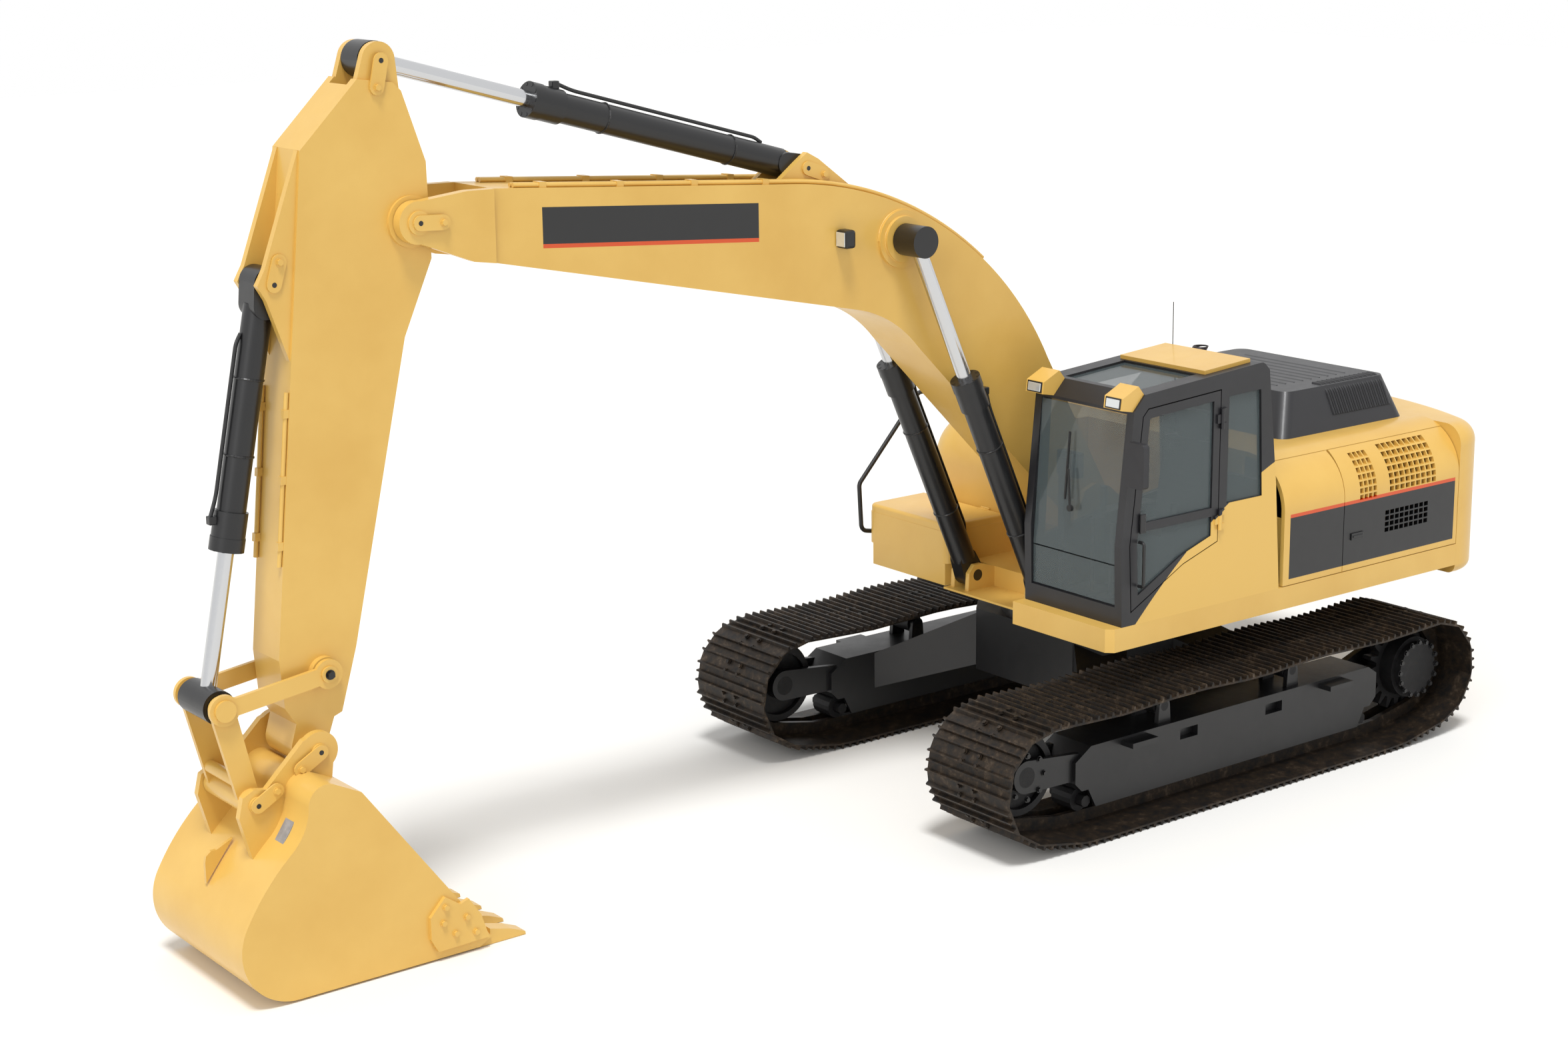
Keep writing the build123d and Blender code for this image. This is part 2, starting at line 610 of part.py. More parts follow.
TANK_REAR = DOOR_SPLIT
TANK_INNER = -CAB_RIGHT - 30
with BuildPart() as pump_door:
    add(skin_piece(-1, DOOR_REAR + PANEL_GAP, TANK_REAR - PANEL_GAP, TOP_SEAM))
    door_swing(-1, TANK_REAR - PANEL_GAP)
    mesh_cut(TANK_REAR - 680, 1700, 480, 240, 8, 4, -1)
save(pump_door.part, "pump_door_right")

COVER_EDGE = TOP_SEAM - PANEL_GAP
BULKHEAD = 25.0
TANK_GAP_Y = TANK_INNER + PANEL_GAP
with BuildPart() as engine_cover:
    # top of the body between the doors' upper seams
    for side in (1, -1):
        extrude(Pos(DOOR_REAR, 0, 0) * body_skin(side), amount=BODY_FRONT - DOOR_REAR, dir=(1, 0, 0))
    with Locations((DOOR_REAR, 0, 0)):
        Box(2 * (BODY_FRONT - DOOR_REAR), 2 * HOUSE_HALF + 10, 2 * (BODY_TOP - SHOULDER), mode=Mode.SUBTRACT)
        for side in (1, -1):
            with Locations((0, side * (COVER_EDGE + 500), BODY_TOP)):
                Box(2 * (BODY_FRONT - DOOR_REAR), 1000, 3 * SHOULDER, mode=Mode.SUBTRACT)
    with Locations(((HOOD_FRONT + HOOD_REAR) / 2, (HOOD_LEFT + HOOD_RIGHT) / 2, BODY_TOP)):
        Box(HOOD_FRONT - HOOD_REAR - 90, HOOD_LEFT - HOOD_RIGHT - 90, 3 * PANEL, mode=Mode.SUBTRACT)
    with Locations(((TANK_REAR - PANEL_GAP + BODY_FRONT + 50) / 2, (TANK_GAP_Y - HOUSE_HALF) / 2, BODY_TOP)):
        Box(BODY_FRONT + 50 - TANK_REAR + PANEL_GAP, HOUSE_HALF + TANK_GAP_Y, 3 * SHOULDER, mode=Mode.SUBTRACT)
    # bulkhead behind the cab and the post between the left side's doors
    with Locations((BODY_FRONT - BULKHEAD / 2, (TOP_SEAM - 220 + TANK_GAP_Y) / 2, (SKIRT_TOP + BODY_TOP - PANEL) / 2)):
        Box(BULKHEAD, TOP_SEAM - 220 - TANK_GAP_Y, BODY_TOP - PANEL - SKIRT_TOP)
    with Locations((DOOR_SPLIT + 100, TOP_SEAM - 250, (SKIRT_TOP + BODY_TOP - PANEL) / 2)):
        Box(60, 60, BODY_TOP - PANEL - SKIRT_TOP)
save(engine_cover.part, "engine_cover")

HOOD_BASE = BODY_TOP + SEAT
HOOD_WALL = 12.0
LEAF_R = 12.0              # of the hood's hinges
HOOD_SLOPE = 150.0         # how far the hood's sides lean in
with BuildPart() as hood:
    with BuildSketch(Plane.XY.offset(HOOD_BASE)):
        with Locations(((HOOD_FRONT + HOOD_REAR) / 2, (HOOD_LEFT + HOOD_RIGHT) / 2)):
            RectangleRounded(HOOD_FRONT - HOOD_REAR, HOOD_LEFT - HOOD_RIGHT, 90)
    with BuildSketch(Plane.XY.offset(HOOD_BASE + HOOD_HEIGHT)):
        with Locations(((HOOD_FRONT + HOOD_REAR - 130) / 2, (HOOD_LEFT + HOOD_RIGHT) / 2)):
            RectangleRounded(HOOD_FRONT - HOOD_REAR - 1.6 * HOOD_SLOPE, HOOD_LEFT - HOOD_RIGHT - 2 * HOOD_SLOPE, 90)
    loft(ruled=True)
    bottom = faces().sort_by(Axis.Z)[0]
    offset(amount=-HOOD_WALL, openings=bottom)
    for y in (HOOD_LEFT - 300, HOOD_RIGHT + 300):
        with Locations(Location((HOOD_REAR - LEAF_R, y, HOOD_BASE + LEAF_R), (90, 0, 0))):
            Cylinder(LEAF_R, 120)
        with Locations((HOOD_REAR - LEAF_R, y, HOOD_BASE)):
            Box(50, 120, LEAF_R, align=(Align.MIN, Align.CENTER, Align.MIN))
save(hood.part, "hood")

ENGINE_BLOCK = (760.0, 1150.0, 700.0)
with BuildPart() as engine:
    with Locations((HOUSE_REAR + 530, 150, SKIRT_TOP + ENGINE_BLOCK[2] / 2)):
        Box(*ENGINE_BLOCK)
        chamfer(edges().filter_by(Axis.Z), 60)
save(engine.part, "engine")

WEIGHT_BOTTOM = 1120.0
WEIGHT_FRONT = HOUSE_REAR - SEAT
side_x = -math.sqrt(TAIL_RADIUS ** 2 - HOUSE_HALF ** 2)
WEIGHT_CORNER = 1.3 * (HOUSE_REAR - side_x)
with BuildPart() as counterweight:
    with BuildSketch(Plane.XY.offset(WEIGHT_BOTTOM)):
        with BuildLine():
            Line((WEIGHT_FRONT, -HOUSE_HALF), (side_x, -HOUSE_HALF))
            ThreePointArc((side_x, -HOUSE_HALF), (-TAIL_RADIUS, 0), (side_x, HOUSE_HALF))
            Line((side_x, HOUSE_HALF), (WEIGHT_FRONT, HOUSE_HALF))
            Line((WEIGHT_FRONT, HOUSE_HALF), (WEIGHT_FRONT, -HOUSE_HALF))
        make_face()
    extrude(amount=BODY_TOP - 18 - WEIGHT_BOTTOM)
    fillet(edges().filter_by(Axis.Z).sort_by(Axis.X)[:2], WEIGHT_CORNER)
    fillet(edges().group_by(Axis.Z)[-1].sort_by(Axis.X)[:-1], 150)
    fillet(edges().group_by(Axis.Z)[0].sort_by(Axis.X)[:-1], 70)
save(counterweight.part, "counterweight")

TANK_FRONT = 330.0
with BuildPart() as tanks:
    with BuildSketch(side_plane(TANK_INNER)):
        with BuildLine():
            Polyline((TANK_REAR, SKIRT_TOP), (TANK_FRONT, SKIRT_TOP), (TANK_FRONT, BODY_TOP - 330))
            RadiusArc((TANK_FRONT, BODY_TOP - 330), (TANK_FRONT - 330, BODY_TOP), -330)
            Polyline((TANK_FRONT - 330, BODY_TOP), (TANK_REAR, BODY_TOP), (TANK_REAR, SKIRT_TOP))
        make_face()
    extrude(amount=HOUSE_HALF + TANK_INNER)
    fillet(edges().filter_by(Axis.X).group_by(Axis.Z)[-1].sort_by(Axis.Y)[0], 230)
    with Locations((-395, -980, 1800)):
        Box(14, 1000, 1000, mode=Mode.SUBTRACT)
save(tanks.part, "tanks")

BOX_TOP = 1590.0
BOX_FRONT = 880.0
BOX_STEP = 560.0
LID = 60.0
LID_LEAF_R = 6.0           # of the lid's hinges, at its rear edge so that it swings clear of the box
with BuildPart() as toolbox:
    with Locations(((TANK_FRONT + BOX_FRONT) / 2, (TANK_INNER - HOUSE_HALF) / 2, (SKIRT_TOP + BOX_TOP) / 2)):
        Box(BOX_FRONT - TANK_FRONT, HOUSE_HALF + TANK_INNER, BOX_TOP - SKIRT_TOP)
        fillet(edges().filter_by(Axis.Z).group_by(Axis.X)[-1], 60)
    with Locations(((TANK_FRONT + BOX_FRONT) / 2, (TANK_INNER - HOUSE_HALF) / 2, (SKIRT_TOP + BOX_TOP) / 2 + 20)):
        Box(BOX_FRONT - TANK_FRONT - 50, HOUSE_HALF + TANK_INNER - 50, BOX_TOP - SKIRT_TOP, mode=Mode.SUBTRACT)
save(toolbox.part, "toolbox")

with BuildPart() as toolbox_lid:
    with Locations(((TANK_FRONT + BOX_FRONT) / 2 + 1, (TANK_INNER - HOUSE_HALF) / 2, BOX_TOP + LID / 2 + SEAT)):
        Box(BOX_FRONT - TANK_FRONT - PANEL_GAP, HOUSE_HALF + TANK_INNER - 2 * PANEL_GAP, LID)
        fillet(edges().filter_by(Axis.Z).group_by(Axis.X)[-1], 60)
        fillet(edges().group_by(Axis.Z)[-1], 25)
    for y in (TANK_INNER - 200, -HOUSE_HALF + 200):
        with Locations(Location((TANK_FRONT + 8, y, BOX_TOP + LID + SEAT + LID_LEAF_R - 1), (90, 0, 0))):
            Cylinder(LID_LEAF_R, 90)
        with Locations((TANK_FRONT + 8, y, BOX_TOP + LID + SEAT - 26)):
            Box(45, 90, 28, align=(Align.MIN, Align.CENTER, Align.MIN))
save(toolbox_lid.part, "toolbox_lid")

# ---------------------------------------------------------------- cab
CAB_BASE = SKIRT_TOP
CAB_FRONT_LOW = 1066.0
CAB_FRONT_HIGH = 955.0
CAB_OUTLINE = (
    # x, z of the cab's side
    (CAB_FRONT_LOW, CAB_BASE),
    (CAB_FRONT_LOW + 14, 1900),
    (CAB_FRONT_HIGH + 30, 2800),
    (CAB_FRONT_HIGH - 70, 2905),
    (CAB_REAR + 160, CAB_ROOF),
    (CAB_REAR + 100, CAB_ROOF - 60),
    (CAB_REAR, 2100),
    (CAB_REAR - 60, CAB_BASE),
)
DOOR_FRONT_X = 985.0
DOOR_REAR_X = 165.0
CAB_DOOR_GAP = 8.0
DOOR_OPENING = (
    (DOOR_FRONT_X, CAB_BASE + 85),
    (DOOR_FRONT_X + 22, 1900),
    (DOOR_FRONT_X - 80, 2760),
    (DOOR_FRONT_X - 130, 2810),
    (DOOR_REAR_X, 2850),
    (DOOR_REAR_X, 1795),
    (DOOR_REAR_X + 330, 1690),
)
REAR_WINDOW = ((-260, 2050), (90, 2050), (90, 2790), (-220, 2800))
RIGHT_WINDOW = ((-230, 1950), (930, 1800), (880, 2780), (-190, 2830))
CAB_MIDDLE_Y = (CAB_RIGHT + HOUSE_HALF) / 2
CAB_WIDTH = HOUSE_HALF - CAB_RIGHT
BROW = CAB_OUTLINE[3]      # where the roof meets the sloping brow over the windscreen
ROOF_SLOPE = (CAB_ROOF - BROW[1]) / (BROW[0] - CAB_OUTLINE[4][0])
ROOF_TILT = math.degrees(math.atan(ROOF_SLOPE))
BACK_TILT = 90 - heading(CAB_OUTLINE[6], CAB_OUTLINE[5])
BACK_WINDOW = (-336.0, CAB_MIDDLE_Y, 2440.0)
HATCH = (560.0, 560.0, 680.0)      # x of the roof hatch's middle, its length and width
GLASS_GAP = 0.5


def roof_z(x):
    """Height of the cab's roof at x."""
    return BROW[1] + (BROW[0] - x) * ROOF_SLOPE


def inset(outline, amount):
    """Outline moved in by an amount, as a sketch on the cab's outer side."""
    with BuildSketch(side_plane(HOUSE_HALF)) as shape:
        with BuildLine():
            Polyline(*outline, close=True)
        make_face()
        offset(amount=-amount, kind=Kind.INTERSECTION)
    return shape.sketch


HINGE_R = 14.0
HINGE_LINE = (DOOR_REAR_X, HOUSE_HALF + HINGE_R + 1)
HINGE_HEIGHTS = (1950.0, 2650.0)


def knuckle(z, height, reach):
    """Hinge knuckle on the cab door's hinge line, with its leaf towards +x or -x."""
    with Locations((HINGE_LINE[0], HINGE_LINE[1], z)):
        Cylinder(HINGE_R, height)
    with Locations((HINGE_LINE[0] + reach / 2, HOUSE_HALF + HINGE_R / 2, z)):
        Box(abs(reach), HINGE_R, height)


with BuildPart() as cab_shell:
    extrude(inset(CAB_OUTLINE, 0), amount=CAB_WIDTH)
    fillet(edges().filter_by(Axis.Y).group_by(Axis.Z)[-1], 60)
    extrude(Pos(0, -CAB_WALL, 0) * inset(CAB_OUTLINE, CAB_WALL), amount=CAB_WIDTH - 2 * CAB_WALL, mode=Mode.SUBTRACT)
    extrude(Pos(0, 1, 0) * inset(DOOR_OPENING, 0), amount=CAB_WALL + 2, mode=Mode.SUBTRACT)
    extrude(Pos(0, 1, 0) * inset(REAR_WINDOW, 0), amount=CAB_WALL + 2, mode=Mode.SUBTRACT)
    extrude(Pos(0, CAB_WALL + 1 - CAB_WIDTH, 0) * inset(RIGHT_WINDOW, 0), amount=CAB_WALL + 2, mode=Mode.SUBTRACT)
    with Locations((CAB_FRONT_LOW, CAB_MIDDLE_Y, (1480 + 2780) / 2)):
        Box(300, CAB_WIDTH - 130, 2780 - 1480, mode=Mode.SUBTRACT)
    with Locations(Location(BACK_WINDOW, (0, BACK_TILT, 0))):
        Box(200, CAB_WIDTH - 200, 640, mode=Mode.SUBTRACT)
    with Locations(Location((HATCH[0], CAB_MIDDLE_Y, roof_z(HATCH[0])), (0, ROOF_TILT, 0))):
        Box(HATCH[1], HATCH[2], 200, mode=Mode.SUBTRACT)
    for z in HINGE_HEIGHTS:
        for up in (50.5, -50.5):
            knuckle(z + up, 40, -45)
save(cab_shell.part, "cab_shell")

FRONT_GLASS_X = CAB_FRONT_LOW - 20
with BuildPart() as cab_glass:
    # windscreen, upper and lower pane, lying in the shell's front opening
    for low, high, x_low, x_high in ((1490, 1755, 0, 2), (1765, 2770, 3, -66)):
        with BuildSketch(side_plane(HOUSE_HALF - 65 - GLASS_GAP)) as pane:
            with BuildLine():
                Polyline((FRONT_GLASS_X + x_low, low), (FRONT_GLASS_X + x_low + GLASS, low),
                         (FRONT_GLASS_X + x_high + GLASS, high), (FRONT_GLASS_X + x_high, high), close=True)
            make_face()
        extrude(amount=CAB_WIDTH - 130 - 2 * GLASS_GAP)
    with Locations(Location(BACK_WINDOW, (0, BACK_TILT, 0))):
        Box(GLASS, CAB_WIDTH - 200 - 2 * GLASS_GAP, 640 - 2 * GLASS_GAP)
    with Locations(Location((HATCH[0], CAB_MIDDLE_Y, roof_z(HATCH[0])), (0, ROOF_TILT, 0))):
        with Locations((0, 0, -20)):
            Box(HATCH[1] - 2 * GLASS_GAP, HATCH[2] - 2 * GLASS_GAP, GLASS)
    extrude(Pos(0, -20, 0) * inset(REAR_WINDOW, GLASS_GAP), amount=GLASS)
    extrude(Pos(0, 20 - CAB_WIDTH, 0) * inset(RIGHT_WINDOW, GLASS_GAP), amount=GLASS)
save(cab_glass.part, "cab_glass")

DOOR_FRAME = 62.0
DOOR_BAR_Z = 2010.0
with BuildPart() as cab_door:
    extrude(inset(DOOR_OPENING, CAB_DOOR_GAP), amount=CAB_WALL - 5)
    extrude(Pos(0, 1, 0) * inset(DOOR_OPENING, CAB_DOOR_GAP + DOOR_FRAME), amount=CAB_WALL, mode=Mode.SUBTRACT)
    with Locations(((DOOR_FRONT_X + DOOR_REAR_X) / 2, HOUSE_HALF - CAB_WALL / 2 + 2.5, DOOR_BAR_Z)):
        Box(DOOR_FRONT_X - DOOR_REAR_X - DOOR_FRAME, CAB_WALL - 5, 60)
    for z in HINGE_HEIGHTS:
        knuckle(z, 60, 45)
save(cab_door.part, "cab_door")

with BuildPart() as cab_door_glass:
    extrude(Pos(0, -16, 0) * inset(DOOR_OPENING, CAB_DOOR_GAP + DOOR_FRAME + GLASS_GAP), amount=GLASS)
    with Locations(((DOOR_FRONT_X + DOOR_REAR_X) / 2, HOUSE_HALF - 16, DOOR_BAR_Z)):
        Box(DOOR_FRONT_X, 40, 61, mode=Mode.SUBTRACT)
save(cab_door_glass.part, "cab_door_glass")

SEAT_X = 160.0
SEAT_Y = CAB_MIDDLE_Y
SEAT_WIDTH = CAB_WIDTH - 440.0
CONSOLE_Y = CAB_WIDTH / 2 - 135.0
FLOOR_Z = CAB_BASE + CAB_WALL
with BuildPart() as operator_seat:
    with Locations((SEAT_X, SEAT_Y, FLOOR_Z + 150)):
        Box(360, SEAT_WIDTH - 140, 300)
    with Locations((SEAT_X + 20, SEAT_Y, FLOOR_Z + 360)):
        Box(500, SEAT_WIDTH, 120)
        fillet(edges().filter_by(Axis.Z), 60)
    with BuildSketch(side_plane(SEAT_Y + SEAT_WIDTH / 2 - 15)) as back:
        with BuildLine():
            Polyline((SEAT_X - 220, FLOOR_Z + 400), (SEAT_X - 90, FLOOR_Z + 400),
                     (SEAT_X - 190, FLOOR_Z + 1010), (SEAT_X - 290, FLOOR_Z + 1010), close=True)
        make_face()
    extrude(amount=SEAT_WIDTH - 30)
    with BuildSketch(side_plane(SEAT_Y + SEAT_WIDTH / 2 - 120)) as rest:
        with BuildLine():
            Polyline((SEAT_X - 280, FLOOR_Z + 1000), (SEAT_X - 200, FLOOR_Z + 1000),
                     (SEAT_X - 220, FLOOR_Z + 1200), (SEAT_X - 300, FLOOR_Z + 1200), close=True)
        make_face()
    extrude(amount=SEAT_WIDTH - 240)
save(operator_seat.part, "operator_seat")

with BuildPart() as cab_controls:
    for side in (1, -1):
        with Locations((SEAT_X + 70, SEAT_Y + side * CONSOLE_Y, FLOOR_Z + 260)):
            Box(560, 130, 520)
            fillet(edges().filter_by(Axis.Y).group_by(Axis.Z)[-1], 50)
        with Locations((SEAT_X + 300, SEAT_Y + side * CONSOLE_Y, FLOOR_Z + 590)):
            Cylinder(22, 200)
        with Locations((SEAT_X + 640, SEAT_Y + side * 90, FLOOR_Z + 280)):
            Cylinder(14, 560)
        with Locations((SEAT_X + 640, SEAT_Y + side * 90, FLOOR_Z + 25)):
            Box(220, 130, 50)
    with Locations((820, CAB_RIGHT + 120, FLOOR_Z + 470)):
        Box(60, 60, 940)
    with Locations((800, CAB_RIGHT + 150, FLOOR_Z + 900)):
        Box(60, 200, 170)
save(cab_controls.part, "cab_controls")

ROOF_PANEL = 26.0
ROOF_MIDDLE = 40.0
with BuildPart() as cab_roof:
    with Locations(Location((ROOF_MIDDLE, CAB_MIDDLE_Y, roof_z(ROOF_MIDDLE)), (0, ROOF_TILT, 0))):
        with Locations((0, 0, SEAT + ROOF_PANEL / 2)):
            Box(2 * (ROOF_MIDDLE - CAB_REAR - 220), CAB_WIDTH - 140, ROOF_PANEL)
save(cab_roof.part, "cab_roof")

with BuildPart() as work_lamps:
    for y in (CAB_RIGHT + 90, HOUSE_HALF - 100):
        with BuildSketch(side_plane(y + 85)) as lamp:
            with BuildLine():
                Polyline((BROW[0] + SEAT, BROW[1] + SEAT), (CAB_FRONT_HIGH + 30 + SEAT, 2800 + SEAT), (CAB_FRONT_HIGH + 130, 2820),
                         (CAB_FRONT_HIGH + 120, 2900), (CAB_FRONT_HIGH - 20, 2965), close=True)
            make_face()
        extrude(amount=170)
save(work_lamps.part, "work_lamps")

MIRROR_X = 1045.0
MIRROR_Y = HOUSE_HALF + 95
with BuildPart() as mirror:
    with Locations((MIRROR_X, MIRROR_Y, 2470)):
        Box(50, 170, 300)
        fillet(edges().filter_by(Axis.X), 30)
    with Locations((MIRROR_X - 33, HOUSE_HALF + 15, 2470)):
        Box(20, 30, 60)
    with Locations((MIRROR_X - 15, HOUSE_HALF + 20, 2470)):
        Box(20, 20, 60)
save(mirror.part, "cab_mirror")

PIPE_FOOT = (HOUSE_REAR + 430, HOOD_RIGHT - 120)
PIPE_R = 62.0
PIPE_WALL = 8.0
PIPE_RISE = 150.0
PIPE_BEND = (-110.0, 300.0)        # how far the pipe's top leans back, and its height
with BuildPart() as exhaust:
    rise = Plane(origin=(PIPE_FOOT[0], PIPE_FOOT[1], BODY_TOP))
    with BuildSketch(rise, rise.offset(PIPE_RISE)):
        Circle(PIPE_R)
    loft()
    with BuildSketch(rise.offset(PIPE_RISE), Plane(origin=(PIPE_FOOT[0] + PIPE_BEND[0], PIPE_FOOT[1], BODY_TOP + PIPE_BEND[1]))):
        Circle(PIPE_R)
    loft()
    with BuildSketch(Plane(origin=(PIPE_FOOT[0] + PIPE_BEND[0], PIPE_FOOT[1], BODY_TOP + PIPE_BEND[1]))):
        Circle(PIPE_R - PIPE_WALL)
    extrude(amount=-60, mode=Mode.SUBTRACT)
save(exhaust.part, "exhaust_pipe")

RAIL_R = 17.0
RAIL_Y = -HOUSE_HALF - RAIL_R - SEAT
HANDRAIL = (
    # x, z along the tube
    (BOX_FRONT - 140, 1400),
    (BOX_FRONT + 50, 1440),
    (BOX_FRONT + 70, 1800),
    (TANK_FRONT + 40, 2420),
    (TANK_FRONT - 420, 2430),
    (TANK_FRONT - 430, BODY_TOP - 330),
)
with BuildPart() as handrails:
    with BuildLine(side_plane(RAIL_Y)) as rail_line:
        FilletPolyline(*HANDRAIL, radius=60)
    with BuildSketch(Plane(origin=rail_line.line @ 0, z_dir=rail_line.line % 0)):
        Circle(RAIL_R)
    sweep(path=rail_line.line)
save(handrails.part, "handrails")

# ---------------------------------------------------------------- boom
GOOSE_TOP = ((2800.0, 4335.0), (1225.0, 3696.0), (633.0, 2958.0))
GOOSE_BOTTOM = ((2326.0, 3478.0), (1814.0, 3176.0))
NOSE_TOP = (5060.0, 4497.0)
NOSE_BOTTOM = (5062.0, 4062.0)
FORK_INNER = STICK_HALF + 20 + PASS_GAP
FORK_OUTER = 262.0
FORK_ROOT = 5150.0
EYE_BOSS = 42.0            # how far the bosses of the boom cylinders' eyes stand proud

boom_foot_top = polar(BOOM_FOOT, BOOM_BOSS, 146)
boom_foot_bottom = polar(BOOM_FOOT, BOOM_BOSS, -49)
nose_slope = (NOSE_TOP[1] - GOOSE_TOP[0][1]) / (NOSE_TOP[0] - GOOSE_TOP[0][0])
belly_slope = (NOSE_BOTTOM[1] - GOOSE_BOTTOM[0][1]) / (NOSE_BOTTOM[0] - GOOSE_BOTTOM[0][0])
with BuildPart() as boom:
    with BuildSketch(side_plane(BOOM_HALF)):
        with BuildLine():
            Line(NOSE_BOTTOM, NOSE_TOP)
            Line(NOSE_TOP, GOOSE_TOP[0])
            bend_a = TangentArc(GOOSE_TOP[0], GOOSE_TOP[1], tangent=(-1, -nose_slope))
            bend_b = TangentArc(GOOSE_TOP[1], GOOSE_TOP[2], tangent=bend_a % 1)
            Line(GOOSE_TOP[2], boom_foot_top)
            ThreePointArc(boom_foot_top, polar(BOOM_FOOT, BOOM_BOSS, 230), boom_foot_bottom)
            Line(boom_foot_bottom, GOOSE_BOTTOM[1])
            TangentArc(GOOSE_BOTTOM[0], GOOSE_BOTTOM[1], tangent=(-1, -belly_slope))
            Line(GOOSE_BOTTOM[0], NOSE_BOTTOM)
        make_face()
    extrude(amount=2 * BOOM_HALF)
    # tip casting: two fork plates that carry the stick's pin
    for low in (FORK_INNER, -FORK_OUTER):
        plate((NOSE_BOTTOM, NOSE_TOP, (FORK_ROOT + 90, 4500), (BOOM_TIP[0], BOOM_TIP[1] + 120), (BOOM_TIP[0], BOOM_TIP[1] - 120),
               (FORK_ROOT + 60, 4085)), low, low + FORK_OUTER - FORK_INNER)
        disc(BOOM_TIP, 125, low, low + FORK_OUTER - FORK_INNER)
        disc(BOOM_TIP, 70, low, low + FORK_OUTER - FORK_INNER, Mode.SUBTRACT)
    disc(BOOM_CYL_EYE, 190, -BOOM_HALF - EYE_BOSS / 2, BOOM_HALF + EYE_BOSS / 2)
    disc(BOOM_CYL_EYE, 150, -BOOM_HALF - EYE_BOSS, BOOM_HALF + EYE_BOSS)
    # ears of the stick cylinder's foot
    for low in (EYE_HALF + SEAT, -EYE_HALF - SEAT - EAR):
        plate((polar(STICK_CYL_FOOT, 420, -25), polar(STICK_CYL_FOOT, 100, 20), polar(STICK_CYL_FOOT, 100, 90),
               polar(STICK_CYL_FOOT, 105, 150), polar(STICK_CYL_FOOT, 480, 205), polar(STICK_CYL_FOOT, 300, 250)), low, low + EAR)
        disc(STICK_CYL_FOOT, PIN_R - 8 + PIN_FIT, low, low + EAR, Mode.SUBTRACT)
    disc(BOOM_FOOT, FOOT_PIN_R, -BOOM_HALF - PASS_GAP - BRACKET_PLATE, BOOM_HALF + PASS_GAP + BRACKET_PLATE)
save(boom.part, "boom")

LINE_R = 14.0              # of the steel pipes on the boom and the stick
LINE_RISE = LINE_R + SEAT
BOOM_LINE_YS = (168.0, 204.0)
BOOM_CLAMPS = (4700.0, 4150.0, 3600.0, 3050.0)
CLAMP_HALF = 24.0


def boom_top(x):
    """Height of the boom's straight top at x."""
    return NOSE_TOP[1] - nose_slope * (NOSE_TOP[0] - x)


with BuildPart() as boom_lines:
    rise = math.hypot(nose_slope, 1.0)
    shift = (-nose_slope * LINE_RISE / rise, LINE_RISE / rise)
    leave = bend_a % 1
    line_end = (GOOSE_TOP[1][0] + leave.Y * LINE_RISE, GOOSE_TOP[1][1] - leave.X * LINE_RISE)
    line_bend = (GOOSE_TOP[0][0] + shift[0], GOOSE_TOP[0][1] + shift[1])
    line_start = (4900.0 + shift[0], boom_top(4900.0) + shift[1])
    with BuildLine() as boom_route:
        Line(line_start, line_bend)
        TangentArc(line_bend, line_end, tangent=(-1, -nose_slope))
    for side in (1, -1):
        for y in BOOM_LINE_YS:
            path = side_plane(side * y).from_local_coords(boom_route.line)
            with BuildSketch(Plane(origin=path @ 0, z_dir=path % 0)):
                Circle(LINE_R)
            sweep(path=path)
        for x in BOOM_CLAMPS:
            low, high = x - CLAMP_HALF, x + CLAMP_HALF
            ends = sorted((side * (BOOM_LINE_YS[0] - 18), side * (BOOM_LINE_YS[1] + 18)))
            plate(((low, boom_top(low) + SEAT), (low, boom_top(low) + 34), (high, boom_top(high) + 34),
                   (high, boom_top(high) + SEAT)), ends[0], ends[1])
save(boom_lines.part, "boom_lines")


# ---------------------------------------------------------------- cylinders
BOOM_ROD_R = 50.0
BOOM_BARREL_R = 86.0
BOOM_BARREL_L = 1790.0
BOOM_ROD_L = 1880.0
STICK_ROD_R = 52.0
STICK_BARREL_R = 92.0
STICK_BARREL_L = 2075.0
STICK_ROD_L = 2115.0
BUCKET_ROD_R = 47.0
BUCKET_BARREL_R = 84.0
BUCKET_BARREL_L = 1540.0
BUCKET_ROD_L = 1670.0
BORE_GAP = 0.3
BORE_END = 40.0            # thickness of the barrel's closed end
GLAND = 150.0              # depth of the gland that guides the rod
BARREL_START = 128.0       # from the foot pin to the end of the tube


def barrel(foot, eye, y, eye_r, eye_half, tube_r, length, rod_r, pin_r, pin_half):
    """Cylinder barrel with its foot eye, bored for the piston and the rod."""
    strap(foot, eye_r, polar(foot, BARREL_START, heading(foot, eye)), eye_r - 15, y - eye_half, y + eye_half)
    round_bar(foot, eye, y, BARREL_START, length - BARREL_START, tube_r)
    round_bar(foot, eye, y, length - 230, 150, tube_r + 14)
    round_bar(foot, eye, y, length - 80, 80, tube_r + 18)
    round_bar(foot, eye, y, BARREL_START + BORE_END, length - BARREL_START - BORE_END - GLAND, rod_r + 18, Mode.SUBTRACT)
    round_bar(foot, eye, y, length - GLAND - 2, GLAND + 4, rod_r + BORE_GAP, Mode.SUBTRACT)
    disc(foot, pin_r, y - pin_half, y + pin_half)


def rod(foot, eye, y, eye_r, eye_half, rod_r, length):
    """Rod with its piston at the inner end and a closed eye at the outer end."""
    reach = distance(foot, eye)
    round_bar(foot, eye, y, reach - length, length, rod_r)
    round_bar(foot, eye, y, reach - length, 70, rod_r + 18 - BORE_GAP)
    disc(eye, eye_r, y - eye_half, y + eye_half)


